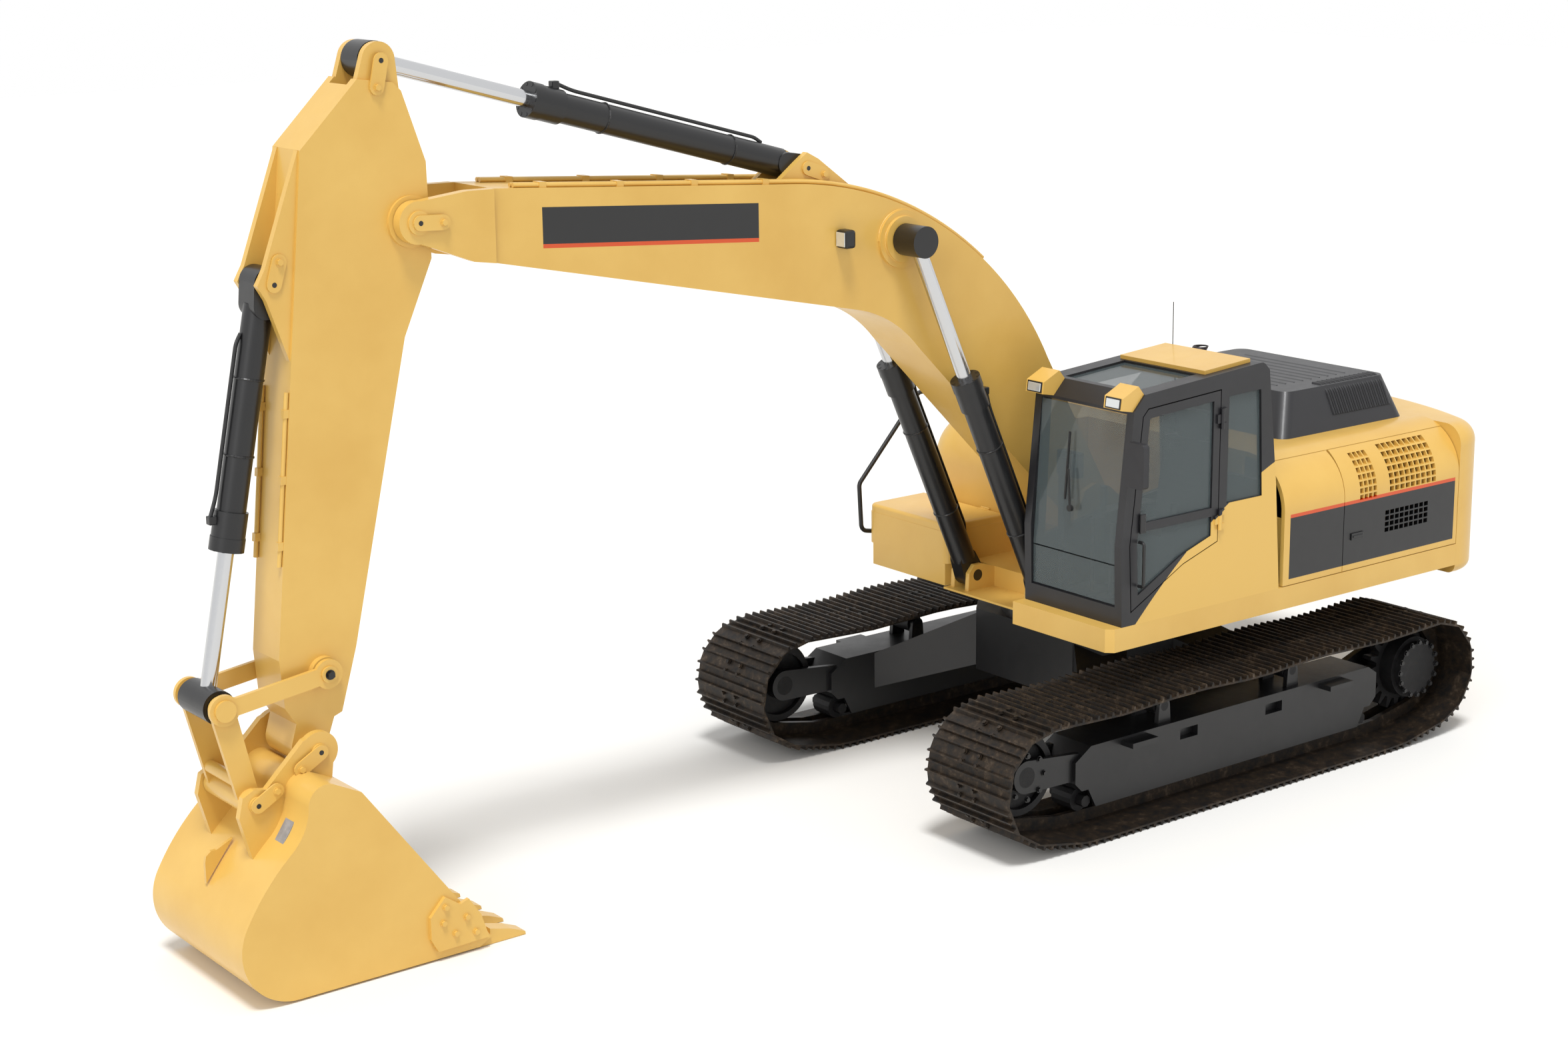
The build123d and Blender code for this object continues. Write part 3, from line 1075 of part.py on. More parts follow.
with BuildPart() as boom_barrels:
    for y in (BOOM_CYL_Y, -BOOM_CYL_Y):
        barrel(BOOM_CYL_FOOT, BOOM_CYL_EYE, y, 92, EAR_GAP, BOOM_BARREL_R, BOOM_BARREL_L, BOOM_ROD_R,
               PIN_R - 8, EAR_GAP + CYL_EAR)
save(boom_barrels.part, "boom_cylinder_barrels")

BOOM_EYE_R = 105.0
BOOM_EYE_INNER = BOOM_HALF + EYE_BOSS + PASS_GAP
with BuildPart() as boom_rods:
    for side in (1, -1):
        y = side * BOOM_CYL_Y
        rod(BOOM_CYL_FOOT, BOOM_CYL_EYE, y, BOOM_EYE_R, BOOM_CYL_Y - BOOM_EYE_INNER, BOOM_ROD_R, BOOM_ROD_L)
save(boom_rods.part, "boom_cylinder_rods")

with BuildPart() as stick_barrel:
    barrel(STICK_CYL_FOOT, STICK_CYL_EYE, 0, 85, EYE_HALF, STICK_BARREL_R, STICK_BARREL_L, STICK_ROD_R,
           PIN_R - 8, EYE_HALF + EAR)
save(stick_barrel.part, "stick_cylinder_barrel")

with BuildPart() as stick_rod:
    rod(STICK_CYL_FOOT, STICK_CYL_EYE, 0, 108, EYE_HALF, STICK_ROD_R, STICK_ROD_L)
save(stick_rod.part, "stick_cylinder_rod")

with BuildPart() as bucket_barrel:
    barrel(BUCKET_CYL_FOOT, LINK_PIN, 0, 92, EYE_HALF, BUCKET_BARREL_R, BUCKET_BARREL_L, BUCKET_ROD_R,
           PIN_R - 8, EYE_HALF + EAR)
save(bucket_barrel.part, "bucket_cylinder_barrel")

with BuildPart() as bucket_rod:
    rod(BUCKET_CYL_FOOT, LINK_PIN, 0, 100, ROD_EYE_HALF, BUCKET_ROD_R, BUCKET_ROD_L)
save(bucket_rod.part, "bucket_cylinder_rod")

# ---------------------------------------------------------------- stick
NOSE_R = 112.0             # of the stick's nose round the bucket's pin
NOSE_ROOT = (6320.0, 1600.0)
NOSE_ROOT_R = 120.0
COLLAR_R = 64.0            # of the sleeve on the bucket's pin, from ear to ear through the nose
FACE_TOP = (6245.0, 4800.0)        # ends of the stick's straight front face
FACE_LOW = (6560.0, 1900.0)
STICK_OUTLINE = (
    # x, z of the stick's box seen from the side
    (5868, 5170),
    FACE_TOP,
    FACE_LOW,
    (6540, 1610),
    (6470, 1495),
    (6270, 1485),
    (6175, 1520),
    (6060, 1900),
    (5640, 3680),
    (5440, 4120),
    (5450, 4680),
    (5590, 5090),
    (5640, 5140),
)
with BuildPart() as stick:
    plate(STICK_OUTLINE, -STICK_HALF, STICK_HALF)
    disc(BOOM_TIP, 150, -STICK_HALF - 20, STICK_HALF + 20)
    strap(NOSE_ROOT, NOSE_ROOT_R, BUCKET_PIN, NOSE_R, -STICK_HALF, STICK_HALF)
    disc(BUCKET_PIN, COLLAR_R + PIN_FIT, -STICK_HALF, STICK_HALF, Mode.SUBTRACT)
    disc(IDLER_PIN, 95, -IDLER_INNER + PASS_GAP, IDLER_INNER - PASS_GAP)
    for low in (EYE_HALF + PASS_GAP, -EYE_HALF - PASS_GAP - EAR):
        strap(STICK_CYL_EYE, 105, (5760, 4850), 190, low, low + EAR)
        plate((polar(BUCKET_CYL_FOOT, 100, 0), polar(BUCKET_CYL_FOOT, 100, 60), (6250, 4800), (6150, 4600), (6250, 3500),
               (6330, 3500), polar(BUCKET_CYL_FOOT, 100, -60)), low, low + EAR)
    for low in (-EYE_HALF - PASS_GAP - EAR, EYE_HALF + PASS_GAP):
        disc(BUCKET_CYL_FOOT, PIN_R - 8 + PIN_FIT, low, low + EAR, Mode.SUBTRACT)
    # pins that carry the stick and the idler links
    disc(BOOM_TIP, 70 - PIN_FIT, -FORK_OUTER - 14, FORK_OUTER + 14)
    disc(IDLER_PIN, PIN_R, -IDLER_INNER - IDLER_PLATE - 14, IDLER_INNER + IDLER_PLATE + 14)
    # the bucket's pin and its sleeve are a solid of their own in the nose's bore
    disc(BUCKET_PIN, COLLAR_R, -TIP_HALF, TIP_HALF)
    disc(BUCKET_PIN, PIN_R, -TIP_HALF - PASS_GAP - BUCKET_EAR - 14, TIP_HALF + PASS_GAP + BUCKET_EAR + 14)
    # clear slot between the ears of the stick cylinder's eye
    plate(((5400, 5600), (5400, 5085), (5900, 5085), (5900, 5600)), -EYE_HALF - PASS_GAP, EYE_HALF + PASS_GAP, Mode.SUBTRACT)
save(stick.part, "stick")

STICK_LINE_Y = 146.0
STICK_LINE = (3450.0, 2450.0)      # heights where the stick's pipes start and end
STICK_CLAMPS = (3330.0, 2950.0, 2570.0)


def stick_front(z):
    """x of the stick's front face at a height."""
    top, low = FACE_TOP, FACE_LOW
    return top[0] + (low[0] - top[0]) * (top[1] - z) / (top[1] - low[1])


with BuildPart() as stick_lines:
    for side in (1, -1):
        with BuildLine(side_plane(side * STICK_LINE_Y)) as route:
            Line((stick_front(STICK_LINE[0]) + LINE_RISE + 1, STICK_LINE[0]),
                 (stick_front(STICK_LINE[1]) + LINE_RISE + 1, STICK_LINE[1]))
        with BuildSketch(Plane(origin=route.line @ 0, z_dir=route.line % 0)):
            Circle(LINE_R)
        sweep(path=route.line)
        ends = sorted((side * (STICK_LINE_Y - 19), side * (STICK_LINE_Y + 17)))
        for z in STICK_CLAMPS:
            low, high = z - CLAMP_HALF, z + CLAMP_HALF
            plate(((stick_front(low) + SEAT, low), (stick_front(low) + 34, low), (stick_front(high) + 34, high),
                   (stick_front(high) + SEAT, high)), ends[0], ends[1])
save(stick_lines.part, "stick_lines")

# ---------------------------------------------------------------- bucket linkage and bucket
IDLER_WAIST = 52.0         # half width of an idler link between its ends
POWER_LINK_END = 74.0
# round web between the power link's plates: up from the bucket's pin, forward of the middle line, radius
WEB_UP = 135.0
WEB_FORWARD = 28.0
WEB_R = 38.0
LINK_TUBE_WALL = 26.0      # of the power link's lower tube round the bucket's pin
with BuildPart() as idler_links:
    for low in (IDLER_INNER, -IDLER_INNER - IDLER_PLATE):
        disc(IDLER_PIN, 88, low, low + IDLER_PLATE)
        disc(LINK_PIN, 92, low, low + IDLER_PLATE)
        strap(IDLER_PIN, IDLER_WAIST, LINK_PIN, IDLER_WAIST, low, low + IDLER_PLATE)
        disc(IDLER_PIN, PIN_R + PIN_FIT, low, low + IDLER_PLATE, Mode.SUBTRACT)
        outer = IDLER_INNER + IDLER_PLATE if low > 0 else -IDLER_INNER - IDLER_PLATE - 16
        disc(LINK_PIN, PIN_R + 14, outer, outer + 16)
save(idler_links.part, "idler_links")

with BuildPart() as power_link:
    for low in (POWER_LINK_INNER, -POWER_LINK_INNER - POWER_LINK_PLATE):
        strap(LINK_PIN, POWER_LINK_END, BUCKET_LINK_PIN, 66, low, low + POWER_LINK_PLATE)
    disc(BUCKET_LINK_PIN, PIN_R + LINK_TUBE_WALL, -TIP_HALF, TIP_HALF)
    along = heading(BUCKET_LINK_PIN, LINK_PIN)
    disc(polar(polar(BUCKET_LINK_PIN, WEB_UP, along), WEB_FORWARD, along - 90), WEB_R, -POWER_LINK_INNER, POWER_LINK_INNER)
    disc(BUCKET_LINK_PIN, PIN_R + PIN_FIT, -TIP_HALF, TIP_HALF, Mode.SUBTRACT)
save(power_link.part, "power_link")

BUCKET_PLATE = 26.0
LIP_TOP = (6300.0, 1165.0)         # upper end of the bucket's mouth
BUCKET_BACK = (
    # x, z where each arc of the bucket's back ends
    (6640, 1150),
    (6760, 900),
    (7065, 520),
    (6764.6, 12),
)
ROOF_START = (6470.0, 1250.0)
LIP = ((5560.0, 12.0), (5480.0, 60.0))
CUTTER = ((5510, 72), (5860, 66), (5905, 150), (5905, 290), (5800, 400), (5700, 330), (5640, 350), (5560, 230))
CUTTER_PLATE = 25.0


def bucket_side():
    """Outline of the bucket: its roof, four tangent arcs down its back, its floor and its mouth."""
    Line(LIP_TOP, ROOF_START)
    tangent = (ROOF_START[0] - LIP_TOP[0], ROOF_START[1] - LIP_TOP[1])
    start = ROOF_START
    for end in BUCKET_BACK:
        arc = TangentArc(start, end, tangent=tangent)
        tangent = arc % 1
        start = end
    Polyline(start, *LIP, LIP_TOP)


EAR_INNER = TIP_HALF + PASS_GAP
with BuildPart() as bucket:
    with BuildSketch(side_plane(BUCKET_HALF)) as outside:
        with BuildLine():
            bucket_side()
        make_face()
    extrude(amount=2 * BUCKET_HALF)
    with BuildSketch(side_plane(BUCKET_HALF - BUCKET_PLATE)) as hollow:
        with BuildLine():
            bucket_side()
        make_face()
        offset(amount=-BUCKET_PLATE, kind=Kind.INTERSECTION)
    extrude(amount=2 * (BUCKET_HALF - BUCKET_PLATE), mode=Mode.SUBTRACT)
    plate(((6290, 1130), (5440, 30), (5300, 200), (6000, 1400)), -BUCKET_HALF + BUCKET_PLATE, BUCKET_HALF - BUCKET_PLATE,
          Mode.SUBTRACT)
    for low in (EAR_INNER, -EAR_INNER - BUCKET_EAR):
        with BuildSketch(side_plane(low + BUCKET_EAR)) as ear:
            with BuildLine():
                Polyline((6330, 1172), (6472, 1240), (6560, 1238), (6618, 1190), (6630, 1120), (6664, 1010), (6748, 893),
                         (6858, 788), (6930, 1060), (6900, 1180),
                         (6830, 1215), (6750, 1200), (6500, 1440), (6400, 1470), (6300, 1400), close=True)
            make_face()
        extrude(amount=BUCKET_EAR)
        disc(BUCKET_PIN, 120, low, low + BUCKET_EAR)
        disc(BUCKET_PIN, PIN_R + PIN_FIT, low, low + BUCKET_EAR, Mode.SUBTRACT)
    disc(BUCKET_LINK_PIN, PIN_R, -EAR_INNER - BUCKET_EAR - 14, EAR_INNER + BUCKET_EAR + 14)
    for low in (BUCKET_HALF, -BUCKET_HALF - CUTTER_PLATE):
        plate(CUTTER, low, low + CUTTER_PLATE)
save(bucket.part, "bucket")

TOOTH_COUNT = 5
TOOTH_W = 110.0
with BuildPart() as teeth:
    step = (2 * BUCKET_HALF - 150) / (TOOTH_COUNT - 1)
    for i in range(TOOTH_COUNT):
        y = -BUCKET_HALF + 75 + i * step
        plate(((5228, 0), (5232, 21), (5330, 62), (5478, 100), (5478, 60.5), (5560, 11.5), (5560, 0)), y - TOOTH_W / 2, y + TOOTH_W / 2)
save(teeth.part, "bucket_teeth")
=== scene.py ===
# %% [markdown]
# # A crawler excavator, dressed for its render
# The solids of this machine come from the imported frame, in metres: +X forward along the
# tracks, +Y to the cab side, +Z up, with the origin on the ground under the slew axis.
# This lesson gives every solid its finish and adds the small parts that a solid model
# leaves out, such as bolts, retainer plates, pipes, lamp lenses, louvres and weld beads.

# %% Load the frame
import math

import bmesh
import bpy
from mathutils import Matrix, Vector


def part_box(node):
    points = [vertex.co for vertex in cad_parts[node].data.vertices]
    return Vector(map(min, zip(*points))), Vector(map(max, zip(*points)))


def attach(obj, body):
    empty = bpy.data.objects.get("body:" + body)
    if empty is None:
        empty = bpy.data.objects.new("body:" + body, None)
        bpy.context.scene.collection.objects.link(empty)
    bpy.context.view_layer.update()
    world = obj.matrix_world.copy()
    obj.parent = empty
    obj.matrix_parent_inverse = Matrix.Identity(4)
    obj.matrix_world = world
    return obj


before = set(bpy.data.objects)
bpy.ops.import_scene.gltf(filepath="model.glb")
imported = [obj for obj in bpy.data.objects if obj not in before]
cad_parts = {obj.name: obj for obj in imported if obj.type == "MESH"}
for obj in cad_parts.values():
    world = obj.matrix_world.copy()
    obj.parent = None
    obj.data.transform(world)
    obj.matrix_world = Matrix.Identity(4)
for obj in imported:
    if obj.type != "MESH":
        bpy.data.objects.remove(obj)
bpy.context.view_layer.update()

# %% [markdown]
# ## Camera
# The view is from the machine's left front, about 6 m above the ground. A camera looks
# down its own -Z axis, so its matrix is built from three directions: right, up and back.
# A long lens keeps the near track from looking too big.

# %% Camera
# angles in radians, places in metres
VIEW_YAW = -2.223
VIEW_PITCH = -0.245
VIEW_ROLL = -0.013
CAMERA_PLACE = (13.143, 13.579, 6.349)
LENS_MM = 61.16
SENSOR_MM = 36.0
FARTHEST_SEEN = 200.0

look = Vector((math.cos(VIEW_PITCH) * math.cos(VIEW_YAW), math.cos(VIEW_PITCH) * math.sin(VIEW_YAW),
               math.sin(VIEW_PITCH)))
right = look.cross(Vector((0, 0, 1))).normalized()
up = right.cross(look)
rolled_right = math.cos(VIEW_ROLL) * right + math.sin(VIEW_ROLL) * up
rolled_up = -math.sin(VIEW_ROLL) * right + math.cos(VIEW_ROLL) * up
camera_data = bpy.data.cameras.new("view_camera")
camera_data.lens = LENS_MM
camera_data.sensor_width = SENSOR_MM
camera_data.clip_end = FARTHEST_SEEN
camera = bpy.data.objects.new("view_camera", camera_data)
bpy.context.scene.collection.objects.link(camera)
turn = Matrix((rolled_right, rolled_up, -look)).transposed().to_4x4()
camera.matrix_world = Matrix.Translation(CAMERA_PLACE) @ turn
bpy.context.scene.camera = camera
print("camera at", tuple(round(v, 2) for v in camera.location))

# %% [markdown]
# ## Finishes
# A material is a small graph of nodes. One function adds a node, sets it and links it, and
# another turns a screen colour such as #E0B050 into the linear numbers that light needs.
# Every pattern reads Object coordinates, which are metres here, so a scale of 200 gives
# a feature about 5 mm wide.

# %% Node helpers
def linear(code):
    """Linear colour with alpha from an sRGB hex code."""
    channels = [int(code[i:i + 2], 16) / 255 for i in (1, 3, 5)]
    return [c / 12.92 if c <= 0.04045 else ((c + 0.055) / 1.055) ** 2.4 for c in channels] + [1.0]


def add_node(owner, kind, links=None, values=None, **settings):
    """Add a node to a material or a world, set it, and link other nodes' outputs to its inputs."""
    node = owner.node_tree.nodes.new(kind)
    for key, value in settings.items():
        setattr(node, key, value)
    for socket, value in (values or {}).items():
        node.inputs[socket].default_value = value
    for socket, output in (links or {}).items():
        owner.node_tree.links.new(output, node.inputs[socket])
    return node


def wire(material, socket, output):
    """Link an output to an input."""
    material.node_tree.links.new(output, socket)


def new_material(name, values=None):
    """A material, its shader and its Object coordinates; values set the shader's inputs."""
    material = bpy.data.materials.new(name)
    material.use_nodes = True
    material.node_tree.nodes.clear()
    shader = add_node(material, "ShaderNodeBsdfPrincipled")
    for socket, value in (values or {}).items():
        shader.inputs[socket].default_value = linear(value) if isinstance(value, str) else value
    add_node(material, "ShaderNodeOutputMaterial", {"Surface": shader.outputs["BSDF"]})
    place = add_node(material, "ShaderNodeTexCoord").outputs["Object"]
    return material, shader, place


def add_noise(material, place, scale, detail=2.0, roughness=0.5):
    """Noise from 0 to 1, as an output."""
    values = {"Scale": scale, "Detail": detail, "Roughness": roughness}
    return add_node(material, "ShaderNodeTexNoise", {"Vector": place}, values).outputs["Fac"]


def add_bump(material, shader, height, strength, depth):
    """Let a height, given as an output, bend the light on a shader."""
    bump = add_node(material, "ShaderNodeBump", {"Height": height}, {"Strength": strength, "Distance": depth})
    wire(material, shader.inputs["Normal"], bump.outputs["Normal"])


def add_tones(material, shader, factor, base, shade):
    """Mix two screen colours by a factor, given as an output."""
    tint = add_node(material, "ShaderNodeMix", {"Factor": factor}, data_type="RGBA")
    tint.inputs["A"].default_value = linear(base)
    tint.inputs["B"].default_value = linear(shade)
    wire(material, shader.inputs["Base Color"], tint.outputs["Result"])


# %% [markdown]
# ### Sprayed enamel and powder coat
# The yellow is a two-pack enamel sprayed over primed steel: a glossy top with fine orange
# peel and faint cloudiness over large plates. The blacks and the cab's charcoal are the
# same kind of coat with less gloss. A function makes all of them, because only their
# numbers differ.

# %% Paint
CLOUD_SCALE = 1.4
SMEAR_SCALE = 9.0


def sprayed_paint(name, base, shade, roughness, coat, peel_mm, peel_depth):
    """Sprayed paint: two near colours mixed by slow noise, orange peel as bump."""
    material, shader, place = new_material(name, {"Coat Weight": coat, "Coat Roughness": 0.12})
    cloud = add_noise(material, place, CLOUD_SCALE, 5.0, 0.55)
    spread = add_node(material, "ShaderNodeMapRange", {"Value": cloud}, {"From Min": 0.35, "From Max": 0.72})
    add_tones(material, shader, spread.outputs["Result"], base, shade)
    smear = add_noise(material, place, SMEAR_SCALE, 6.0, 0.7)
    rough = add_node(material, "ShaderNodeMapRange", {"Value": smear},
                     {"To Min": roughness - 0.07, "To Max": roughness + 0.11})
    wire(material, shader.inputs["Roughness"], rough.outputs["Result"])
    add_bump(material, shader, add_noise(material, place, 1000.0 / peel_mm), 0.25, peel_depth)
    return material


# two colours, roughness, clear coat, width of the orange peel in mm and its depth in metres
YELLOW = ("#DDB45C", "#D3A74E", 0.40, 0.25, 9.0, 0.0006)
BLACK = ("#0D0D0F", "#141416", 0.42, 0.15, 9.0, 0.0006)
CHARCOAL = ("#161619", "#1E1E22", 0.45, 0.10, 5.0, 0.0006)
CYLINDER_BLACK = ("#0C0C0E", "#121214", 0.36, 0.15, 8.0, 0.0005)
yellow_enamel = sprayed_paint("yellow_enamel", *YELLOW)
black_enamel = sprayed_paint("black_enamel", *BLACK)
charcoal_powder_coat = sprayed_paint("charcoal_powder_coat", *CHARCOAL)
cylinder_enamel = sprayed_paint("cylinder_enamel", *CYLINDER_BLACK)
print("paints made")

# %% [markdown]
# ### Colours that end at a line
# The house and the boom carry a plain black band with a thin orange-red line, and the
# cab's lower rear is yellow. A mask of a few sums on the Object coordinates gives each
# edge, so the band follows its door when the door opens.

# %% Colour regions
def axes(material):
    """The three Object coordinates of a material as outputs x, y and z."""
    place = add_node(material, "ShaderNodeTexCoord").outputs["Object"]
    return add_node(material, "ShaderNodeSeparateXYZ", {0: place}).outputs


def sum_of(material, operation, a, b):
    """One sum; a and b are outputs or numbers with a decimal point."""
    links = {i: v for i, v in enumerate((a, b)) if not isinstance(v, float)}
    values = {i: v for i, v in enumerate((a, b)) if isinstance(v, float)}
    return add_node(material, "ShaderNodeMath", links, values, operation=operation).outputs[0]


def between(material, value, low, high):
    """1 where a value lies between two numbers, and 0 elsewhere."""
    above = sum_of(material, "GREATER_THAN", value, low)
    below = sum_of(material, "LESS_THAN", value, high)
    return sum_of(material, "MULTIPLY", above, below)


def add_region(material, colour, mask):
    """Another colour where the mask is 1."""
    shader = next(n for n in material.node_tree.nodes if n.type == "BSDF_PRINCIPLED")
    ground = shader.inputs["Base Color"].links[0].from_socket
    mix = add_node(material, "ShaderNodeMix", {"Factor": mask}, data_type="RGBA")
    wire(material, mix.inputs["A"], ground)
    mix.inputs["B"].default_value = linear(colour)
    wire(material, shader.inputs["Base Color"], mix.outputs["Result"])


def add_band(material, along, height, band, line):
    """Black band and its line, each between two heights, where the mask 'along' is 1."""
    for colour, (low, high) in (("#0B0B0D", band), ("#CF4A0E", line)):
        inside = between(material, height, low, high)
        add_region(material, colour, sum_of(material, "MULTIPLY", along, inside))


# the side's band, from the engine door's rear edge to the cab
SIDE_BAND_X = (-2.335, -0.56)
SIDE_BAND_Z = (1.40, 1.84)
SIDE_LINE_Z = (1.84, 1.865)
side_enamel = sprayed_paint("banded_side_enamel", *YELLOW)
x, _, z = axes(side_enamel)
add_band(side_enamel, between(side_enamel, x, *SIDE_BAND_X), z, SIDE_BAND_Z, SIDE_LINE_Z)

# the boom's band lies along its straight top, which rises by BOOM_SLOPE
BOOM_SLOPE = 0.0717
BOOM_BAND_X = (3.12, 4.72)
BOOM_BAND_Z = (3.80, 4.02)
BOOM_LINE_Z = (3.775, 3.80)
boom_enamel = sprayed_paint("banded_boom_enamel", *YELLOW)
x, _, z = axes(boom_enamel)
level = sum_of(boom_enamel, "SUBTRACT", z, sum_of(boom_enamel, "MULTIPLY", x, BOOM_SLOPE))
add_band(boom_enamel, between(boom_enamel, x, *BOOM_BAND_X), level, BOOM_BAND_Z, BOOM_LINE_Z)

# the yellow of the cab's outer side ends at a curve that rises to the rear: with b metres
# back from EDGE_FRONT_X, its height is EDGE_FOOT_Z + b (EDGE_SLOPE - EDGE_CURVE b)
EDGE_FRONT_X = 0.93
EDGE_FOOT_Z = 1.36
EDGE_SLOPE = 0.995
EDGE_CURVE = 0.229
CAB_SIDE_Y = 1.4365
cab_coat = sprayed_paint("two_tone_cab_coat", *CHARCOAL)
x, y, z = axes(cab_coat)
back = sum_of(cab_coat, "SUBTRACT", EDGE_FRONT_X, x)
slope = sum_of(cab_coat, "SUBTRACT", EDGE_SLOPE, sum_of(cab_coat, "MULTIPLY", back, EDGE_CURVE))
edge = sum_of(cab_coat, "ADD", sum_of(cab_coat, "MULTIPLY", back, slope), EDGE_FOOT_Z)
below_edge = sum_of(cab_coat, "LESS_THAN", z, edge)
on_side = sum_of(cab_coat, "GREATER_THAN", y, CAB_SIDE_Y)
add_region(cab_coat, YELLOW[0], sum_of(cab_coat, "MULTIPLY", below_edge, on_side))
print("colour regions made")

# %% [markdown]
# ### Worn track steel, cast iron and chrome
# Track shoes are rolled alloy steel that leaves the works black. The ground rubs the
# grousers' tips and the plates bright, and rust creeps back between jobs, so the colour
# mixes near-black, brown and bare grey. Chrome on the rods is almost a mirror.

# %% Metals
PATCH_SCALE = 14.0
GRIT_SCALE = 160.0


def worn_steel(name, dark, brown, bright, roughness, metallic):
    """Rolled or cast steel with brown patches and rubbed places."""
    material, shader, place = new_material(name, {"Metallic": metallic, "Roughness": roughness})
    patch = add_noise(material, place, PATCH_SCALE, 8.0, 0.68)
    colours = add_node(material, "ShaderNodeValToRGB", {"Fac": patch})
    ramp = colours.color_ramp
    ramp.elements[0].position = 0.38
    ramp.elements[0].color = linear(dark)
    ramp.elements[1].position = 0.72
    ramp.elements[1].color = linear(bright)
    ramp.elements.new(0.56).color = linear(brown)
    wire(material, shader.inputs["Base Color"], colours.outputs["Color"])
    add_bump(material, shader, add_noise(material, place, GRIT_SCALE, 6.0), 0.5, 0.002)
    return material


track_steel = worn_steel("worn_track_steel", "#1B1918", "#33291F", "#5A4D40", 0.50, 0.55)
cast_iron = worn_steel("painted_cast_iron", "#141416", "#1A191A", "#252426", 0.55, 0.3)
heat_stained_steel = worn_steel("heat_stained_steel", "#2E2D33", "#3D3638", "#5A5556", 0.42, 0.8)
grey_metal = worn_steel("zinc_plated_steel", "#8C8E92", "#9A9CA0", "#AEB0B4", 0.45, 0.2)

chrome, chrome_shader, chrome_place = new_material("hard_chrome", {"Base Color": "#C9CACC", "Metallic": 1.0})
film = add_noise(chrome, chrome_place, 30.0, 4.0)
film_range = add_node(chrome, "ShaderNodeMapRange", {"Value": film}, {"To Min": 0.08, "To Max": 0.2})
wire(chrome, chrome_shader.inputs["Roughness"], film_range.outputs["Result"])
print("metals made")

# %% [markdown]
# ### Glass, moulding, rubber and fabric
# The cab has tinted safety glass, smooth and half see-through. Mouldings are grained ABS.
# The seat is woven cloth, and its ridges are drawn about 8 mm apart, wider than real ones,
# so that they show.

# %% Soft and clear finishes
tinted_glass = new_material("tinted_safety_glass", {
    "Base Color": "#5F6A6C", "Roughness": 0.02, "IOR": 1.5, "Transmission Weight": 0.0, "Alpha": 0.42})[0]
lens_glass = new_material("lamp_lens", {"Base Color": "#D9DDDE", "Roughness": 0.08, "Metallic": 0.5})[0]


def moulded(name, base, shade, roughness, grain_mm):
    """Moulded plastic or rubber with a fine leathery grain."""
    material, shader, place = new_material(name, {"Roughness": roughness})
    grain = add_node(material, "ShaderNodeTexVoronoi", {"Vector": place}, {"Scale": 1000.0 / grain_mm})
    add_bump(material, shader, grain.outputs["Distance"], 0.3, 0.0008)
    add_tones(material, shader, add_noise(material, place, 12.0, 4.0), base, shade)
    return material


grained_plastic = moulded("grained_abs", "#1E1E21", "#27272B", 0.55, 3.0)
soft_rubber = moulded("hose_rubber", "#141415", "#1C1B1B", 0.62, 3.0)

seat_cloth, cloth_shader, cloth_place = new_material(
    "woven_seat_cloth", {"Base Color": "#2B2B30", "Roughness": 0.9, "Sheen Weight": 0.4})
weave = add_node(seat_cloth, "ShaderNodeTexWave", {"Vector": cloth_place}, {"Scale": 40.0, "Distortion": 1.0})
add_bump(seat_cloth, cloth_shader, weave.outputs["Fac"], 0.4, 0.001)
print("glass, mouldings and cloth made")

# %% [markdown]
# ### Which finish goes where
# The solids keep their meshes, so only their material slots change.

# %% Finish the solids
FINISHES = (
    (yellow_enamel, ("house_frame", "pump_door_right", "engine_cover", "counterweight", "tanks", "toolbox",
                     "toolbox_lid", "cab_roof", "work_lamps", "boom_lines", "stick", "stick_lines",
                     "idler_links", "power_link", "bucket", "bucket_teeth")),
    (side_enamel, ("side_panel_left", "engine_door_left")),
    (boom_enamel, ("boom",)),
    (black_enamel, ("carbody", "track_frame_left", "track_frame_right", "handrails")),
    (cab_coat, ("cab_shell", "cab_door")),
    (charcoal_powder_coat, ("hood",)),
    (cylinder_enamel, ("boom_cylinder_barrels", "stick_cylinder_barrel", "bucket_cylinder_barrel")),
    (chrome, ("boom_cylinder_rods", "stick_cylinder_rod", "bucket_cylinder_rod")),
    (track_steel, ("track_left", "track_right")),
    (cast_iron, ("slew_ring", "idlers", "drive_sprockets", "track_rollers", "engine")),
    (heat_stained_steel, ("exhaust_pipe",)),
    (tinted_glass, ("cab_glass", "cab_door_glass")),
    (grained_plastic, ("cab_controls", "cab_mirror")),
    (seat_cloth, ("operator_seat",)),
)
for finish, names in FINISHES:
    for name in names:
        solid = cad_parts[name]
        solid.data.materials.clear()
        solid.data.materials.append(finish)
print("finished", sum(len(names) for finish, names in FINISHES), "solids")

# pins of the arm as (x, z), which several tables below share
BOOM_ROD_PIN = (1.960, 3.910)
STICK_ROD_PIN = (5.715, 5.266)
BUCKET_ROD_PIN = (6.949, 1.700)
BOOM_BARREL_PIN = (0.800, 1.312)
STICK_BARREL_PIN = (2.655, 4.418)
BUCKET_BARREL_PIN = (6.445, 4.067)

# eye of each cylinder's rod and its radius: painted black, while the rod is chrome
ROD_EYES = (
    ("boom_cylinder_rods", BOOM_ROD_PIN, 0.105),
    ("stick_cylinder_rod", STICK_ROD_PIN, 0.108),
    ("bucket_cylinder_rod", BUCKET_ROD_PIN, 0.100),
)
EYE_MARGIN = 0.003
for name, (eye_x, eye_z), radius in ROD_EYES:
    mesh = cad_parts[name].data
    mesh.materials.append(cylinder_enamel)
    for face in mesh.polygons:
        if math.hypot(face.center.x - eye_x, face.center.z - eye_z) < radius + EYE_MARGIN:
            face.material_index = 1

